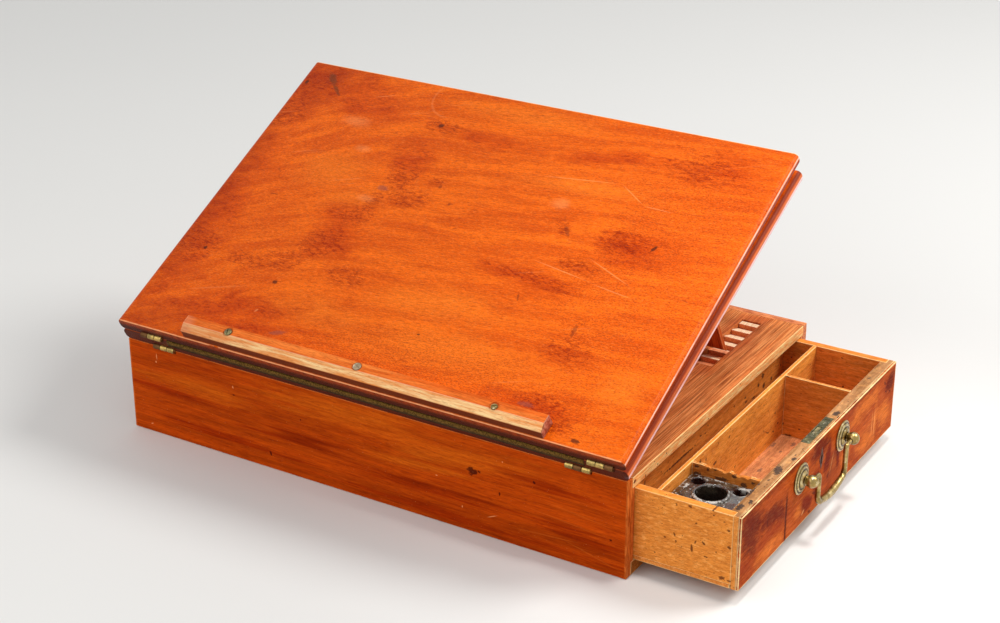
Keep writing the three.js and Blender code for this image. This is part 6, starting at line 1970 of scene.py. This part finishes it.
class DESK_OT_handle(bpy.types.Operator):
    """The bail handle with its ringed rosettes, ball-headed posts and nuts"""

    bl_idname = "desk.handle"
    bl_label = "Handle"

    def execute(self, context):
        brass = tuple(colours().brass)
        metal = aged_metal("handle_brass", brass, WORLD, 0.55, (0.2, 0.42))
        dull = aged_metal("rosette_brass", brass, WORLD, 0.6, (0.2, 0.4), bright=(240, 226, 186), rings=True)
        base = FACE_X + GLUE_LINE
        radius, height = 9.8, 3.4
        ring = [
            (1.95, 0), (radius - 0.3, 0), (radius, 0.3), (radius, 0.62), (radius - 0.35, 0.95), (radius - 0.9, 1.12),
            (radius - 1.3, 0.95), (radius - 1.6, 1.0), (radius - 2.0, 1.5), (radius - 2.7, 1.85), (radius - 3.3, 1.75),
            (radius - 3.8, 1.6), (radius - 4.3, 1.95), (radius - 4.9, 2.55), (radius - 5.7, 3.0), (radius - 6.6, 3.25),
            (2.6, height), (1.95, height),
        ]
        for place, y in (("near", HANDLE_Y - POST_SPACING / 2), ("far", HANDLE_Y + POST_SPACING / 2)):
            made = placed(lathe([*ring, ring[0]], 72, "X"), Matrix.Translation((base, y, HANDLE_Z)))
            piece(f"rosette_{place}_brass", made, dull, "drawer", [f"rosette_{place}"])
            piece(f"post_{place}_brass", self.post(y), metal, "drawer", [f"handle_post_{place}"])
            low, high = extent(f"handle_nut_{place}")
            nut = eased(block(low, high), 0.35, 2)
            hole = placed(lathe([(0, -5), (1.95, -5), (1.95, 5), (0, 5)], 24, "X"), Matrix.Translation((low.x, y, HANDLE_Z)))
            piece(
                f"nut_{place}_brass", carved(nut, hole), aged_metal(f"nut_{place}_metal", linear(110, 96, 60), WORLD, 0.8),
                "drawer", [f"handle_nut_{place}"],
            )
        points, radii = self.bail_path()
        made = placed(swept(points, radii, 28), Matrix.Translation((BALL_X, HANDLE_Y, HANDLE_Z)))
        piece("bail_brass", made, metal, "bail", ["bail"], flat=60)
        return {"FINISHED"}

    def post(self, y):
        tail = CORE_INNER - 3.2
        collar = FACE_X + GLUE_LINE + 3.4 + GLUE_LINE
        neck = 2.2
        start = math.asin(neck / BALL)
        profile = [(0, tail), (1.5, tail), (1.8, tail + 0.3), (1.8, collar), (2.9, collar), (3.1, collar + 0.2), (2.9, collar + 0.4)]
        steps = 22
        for i in range(steps + 1):
            turn = start + 0.12 + (math.pi - start - 0.12) * i / steps
            profile.append((BALL * math.sin(turn) if i < steps else 0, BALL_X - BALL * math.cos(turn)))
        post = placed(lathe(profile, 56, "X"), Matrix.Translation((0, y, HANDLE_Z)))
        outwards = 1 if y > HANDLE_Y else -1
        start_y, end_y = sorted((y - outwards * 7, y + outwards * 2.7))
        bore = [(BALL_X + 1.55 * math.cos(a), HANDLE_Z + 1.55 * math.sin(a)) for a in (math.tau * i / 32 for i in range(32))]
        return carved(post, prism(bore, start_y, end_y, "Y"))

    def bail_path(self):
        """Points and half thicknesses along the bail, from one ball to the other."""
        end, arm, elbow, corner = POST_SPACING / 2 + 2.4, BAIL_ARM, 2.6, 6.5
        drop, bow = BAIL_DROP, BAIL_BOW

        def at(y, z):
            return Vector((0, y, z))

        def bent(a, b, c, count):
            return [a * (1 - t) ** 2 + b * 2 * t * (1 - t) + c * t ** 2 for t in (i / count for i in range(count))]

        half = [at(-end, 0) + (at(-arm - elbow, 0) - at(-end, 0)) * (i / 6) for i in range(6)]
        half += bent(at(-arm - elbow, 0), at(-arm, 0), at(-arm, -elbow), 8)
        half += [at(-arm, -elbow) + (at(-arm, corner - drop) - at(-arm, -elbow)) * (i / 10) for i in range(10)]
        half += bent(at(-arm, corner - drop), at(-arm, -drop), at(corner - arm, -drop), 14)
        bottom = bent(at(corner - arm, -drop), at(0, -drop - bow), at(arm - corner, -drop), 28)
        mirrored = [Vector((0, -p.y, p.z)) for p in reversed(half)]
        points = half + bottom + [at(arm - corner, -drop)] + mirrored
        radii = []
        for p in points:
            if abs(p.y) > arm + elbow / 2:
                radii.append(1.25)
                continue
            t = min(1, max(0, (-p.z - (drop - corner)) / corner))
            fall = t * t * (3 - 2 * t)
            t = min(1, abs(p.y) / arm)
            middle = 1 - t * t * (3 - 2 * t)
            radii.append(1.6 + 0.85 * fall * (0.35 + 0.65 * middle))
        return points, radii


# ---------------------------------------------------------------------------------------------
# Stage


class DESK_OT_stage(bpy.types.Operator):
    """Pale floor, soft studio light and a camera where the photograph was taken from"""

    bl_idname = "desk.stage"
    bl_label = "Stage"

    def execute(self, context):
        scene = context.scene
        scene.view_settings.view_transform = "Standard"
        reach = sizes().floor / MM
        f = Finish("floor_paint")
        place = f.places()
        cloud = f.noise(place, 2.0, 0.5, (300, 300, 300))
        colour = f.mix(cloud * 0.3, tuple(colours().floor), shaded(tuple(colours().floor), 0.94))
        paint = f.surface(colour, 0.75, cloud, 0.1, 0.1, Specular_IOR_Level=0.2)
        floor = spare_object(block((-reach, -reach, -10), (reach, reach, -0.3)), "floor")
        floor.data.transform(Matrix.Scale(MM, 4))
        floor.data.materials.append(paint)
        self.world(scene)
        for name, place, aim, size, power in (
            ("key", (1080, 760, 1360), (60, 0, 40), 0.8, 23),
            ("fill", (-500, -1500, 1250), (40, 0, 40), 1.6, 12),
            ("drawer_light", (330, -40, 1500), (222, 5, 40), 0.12, 46),
        ):
            if name == "drawer_light":
                lamp = bpy.data.lights.new(name, "SPOT")
                lamp.spot_size, lamp.spot_blend, lamp.shadow_soft_size = math.radians(19), 1.0, size
            else:
                lamp = bpy.data.lights.new(name, "AREA")
                lamp.shape, lamp.size = "DISK", size
            lamp.energy = power
            thing = bpy.data.objects.new(name, lamp)
            thing.location = Vector(place) * MM
            thing.rotation_euler = (Vector(aim) - Vector(place)).to_track_quat("-Z", "Y").to_euler()
            scene.collection.objects.link(thing)
        self.camera(scene)
        return {"FINISHED"}

    def world(self, scene):
        scene.world = bpy.data.worlds.new("studio")
        scene.world.use_nodes = True
        sky = Nodes(scene.world.node_tree)
        rays = sky.node("ShaderNodeLightPath")
        camera, glossy, through = (
            Number(sky, rays.outputs[f"Is {kind} Ray"]) for kind in ("Camera", "Glossy", "Transmission")
        )
        seen = camera.larger(glossy).larger(through)
        plain = sky.node("ShaderNodeBackground", {}, {0: (0.96, 0.98, 1.0), 1: 0.58})
        white = sky.node("ShaderNodeBackground", {}, {0: (1, 1, 1), 1: 1.0})
        both = sky.node("ShaderNodeMixShader", {}, {0: seen, 1: plain.outputs[0], 2: white.outputs[0]})
        sky.node("ShaderNodeOutputWorld", {}, {0: both.outputs[0]})

    def camera(self, scene):
        yaw, pitch, roll = (math.radians(degrees) for degrees in (-31.49, 24.51, -0.13))
        view = Vector((math.sin(yaw) * math.cos(pitch), math.cos(yaw) * math.cos(pitch), -math.sin(pitch)))
        right = Vector((math.cos(yaw), -math.sin(yaw), 0))
        above = right.cross(view)
        right, above = (
            right * math.cos(roll) + above * math.sin(roll), above * math.cos(roll) - right * math.sin(roll)
        )
        lens = bpy.data.cameras.new("photo_camera")
        lens.sensor_width = 36
        width, focal = 1000, 1996.04
        lens.lens = focal / width * 36
        lens.shift_x, lens.shift_y = -0.34 / width, -0.22 / width
        lens.clip_end = 100
        camera = bpy.data.objects.new("photo_camera", lens)
        turn = Matrix((right, above, -view)).transposed().to_4x4()
        camera.matrix_world = Matrix.Translation(Vector((630.58, -991.84, 613.02)) * MM) @ turn
        scene.collection.objects.link(camera)
        scene.camera = camera


class DESK_PT_pieces(bpy.types.Panel):
    """The desk's pieces, in the order in which they are built"""

    bl_idname = "DESK_PT_pieces"
    bl_label = "Writing Desk"
    bl_space_type = "VIEW_3D"
    bl_region_type = "UI"
    bl_category = "Writing Desk"

    def draw(self, context):
        column = self.layout.column()
        for group in (context.scene.desk_sizes, context.scene.desk_colours):
            for name in group.__annotations__:
                column.prop(group, name)
        for operator in OPERATORS:
            column.operator(operator.bl_idname)


OPERATORS = (
    DESK_OT_case, DESK_OT_boards, DESK_OT_lining, DESK_OT_ledge, DESK_OT_hinges, DESK_OT_prop, DESK_OT_drawer,
    DESK_OT_inkwell, DESK_OT_lock, DESK_OT_handle, DESK_OT_stage,
)
CLASSES = (DeskSizes, DeskColours, *OPERATORS, DESK_PT_pieces)


def register():
    for made in CLASSES:
        bpy.utils.register_class(made)
    bpy.types.Scene.desk_sizes = PointerProperty(type=DeskSizes)
    bpy.types.Scene.desk_colours = PointerProperty(type=DeskColours)


def unregister():
    del bpy.types.Scene.desk_sizes, bpy.types.Scene.desk_colours
    for made in reversed(CLASSES):
        bpy.utils.unregister_class(made)


def main():
    register()
    for operator in OPERATORS:
        group, name = operator.bl_idname.split(".")
        getattr(getattr(bpy.ops, group), name)()


if __name__ == "__main__":
    main()
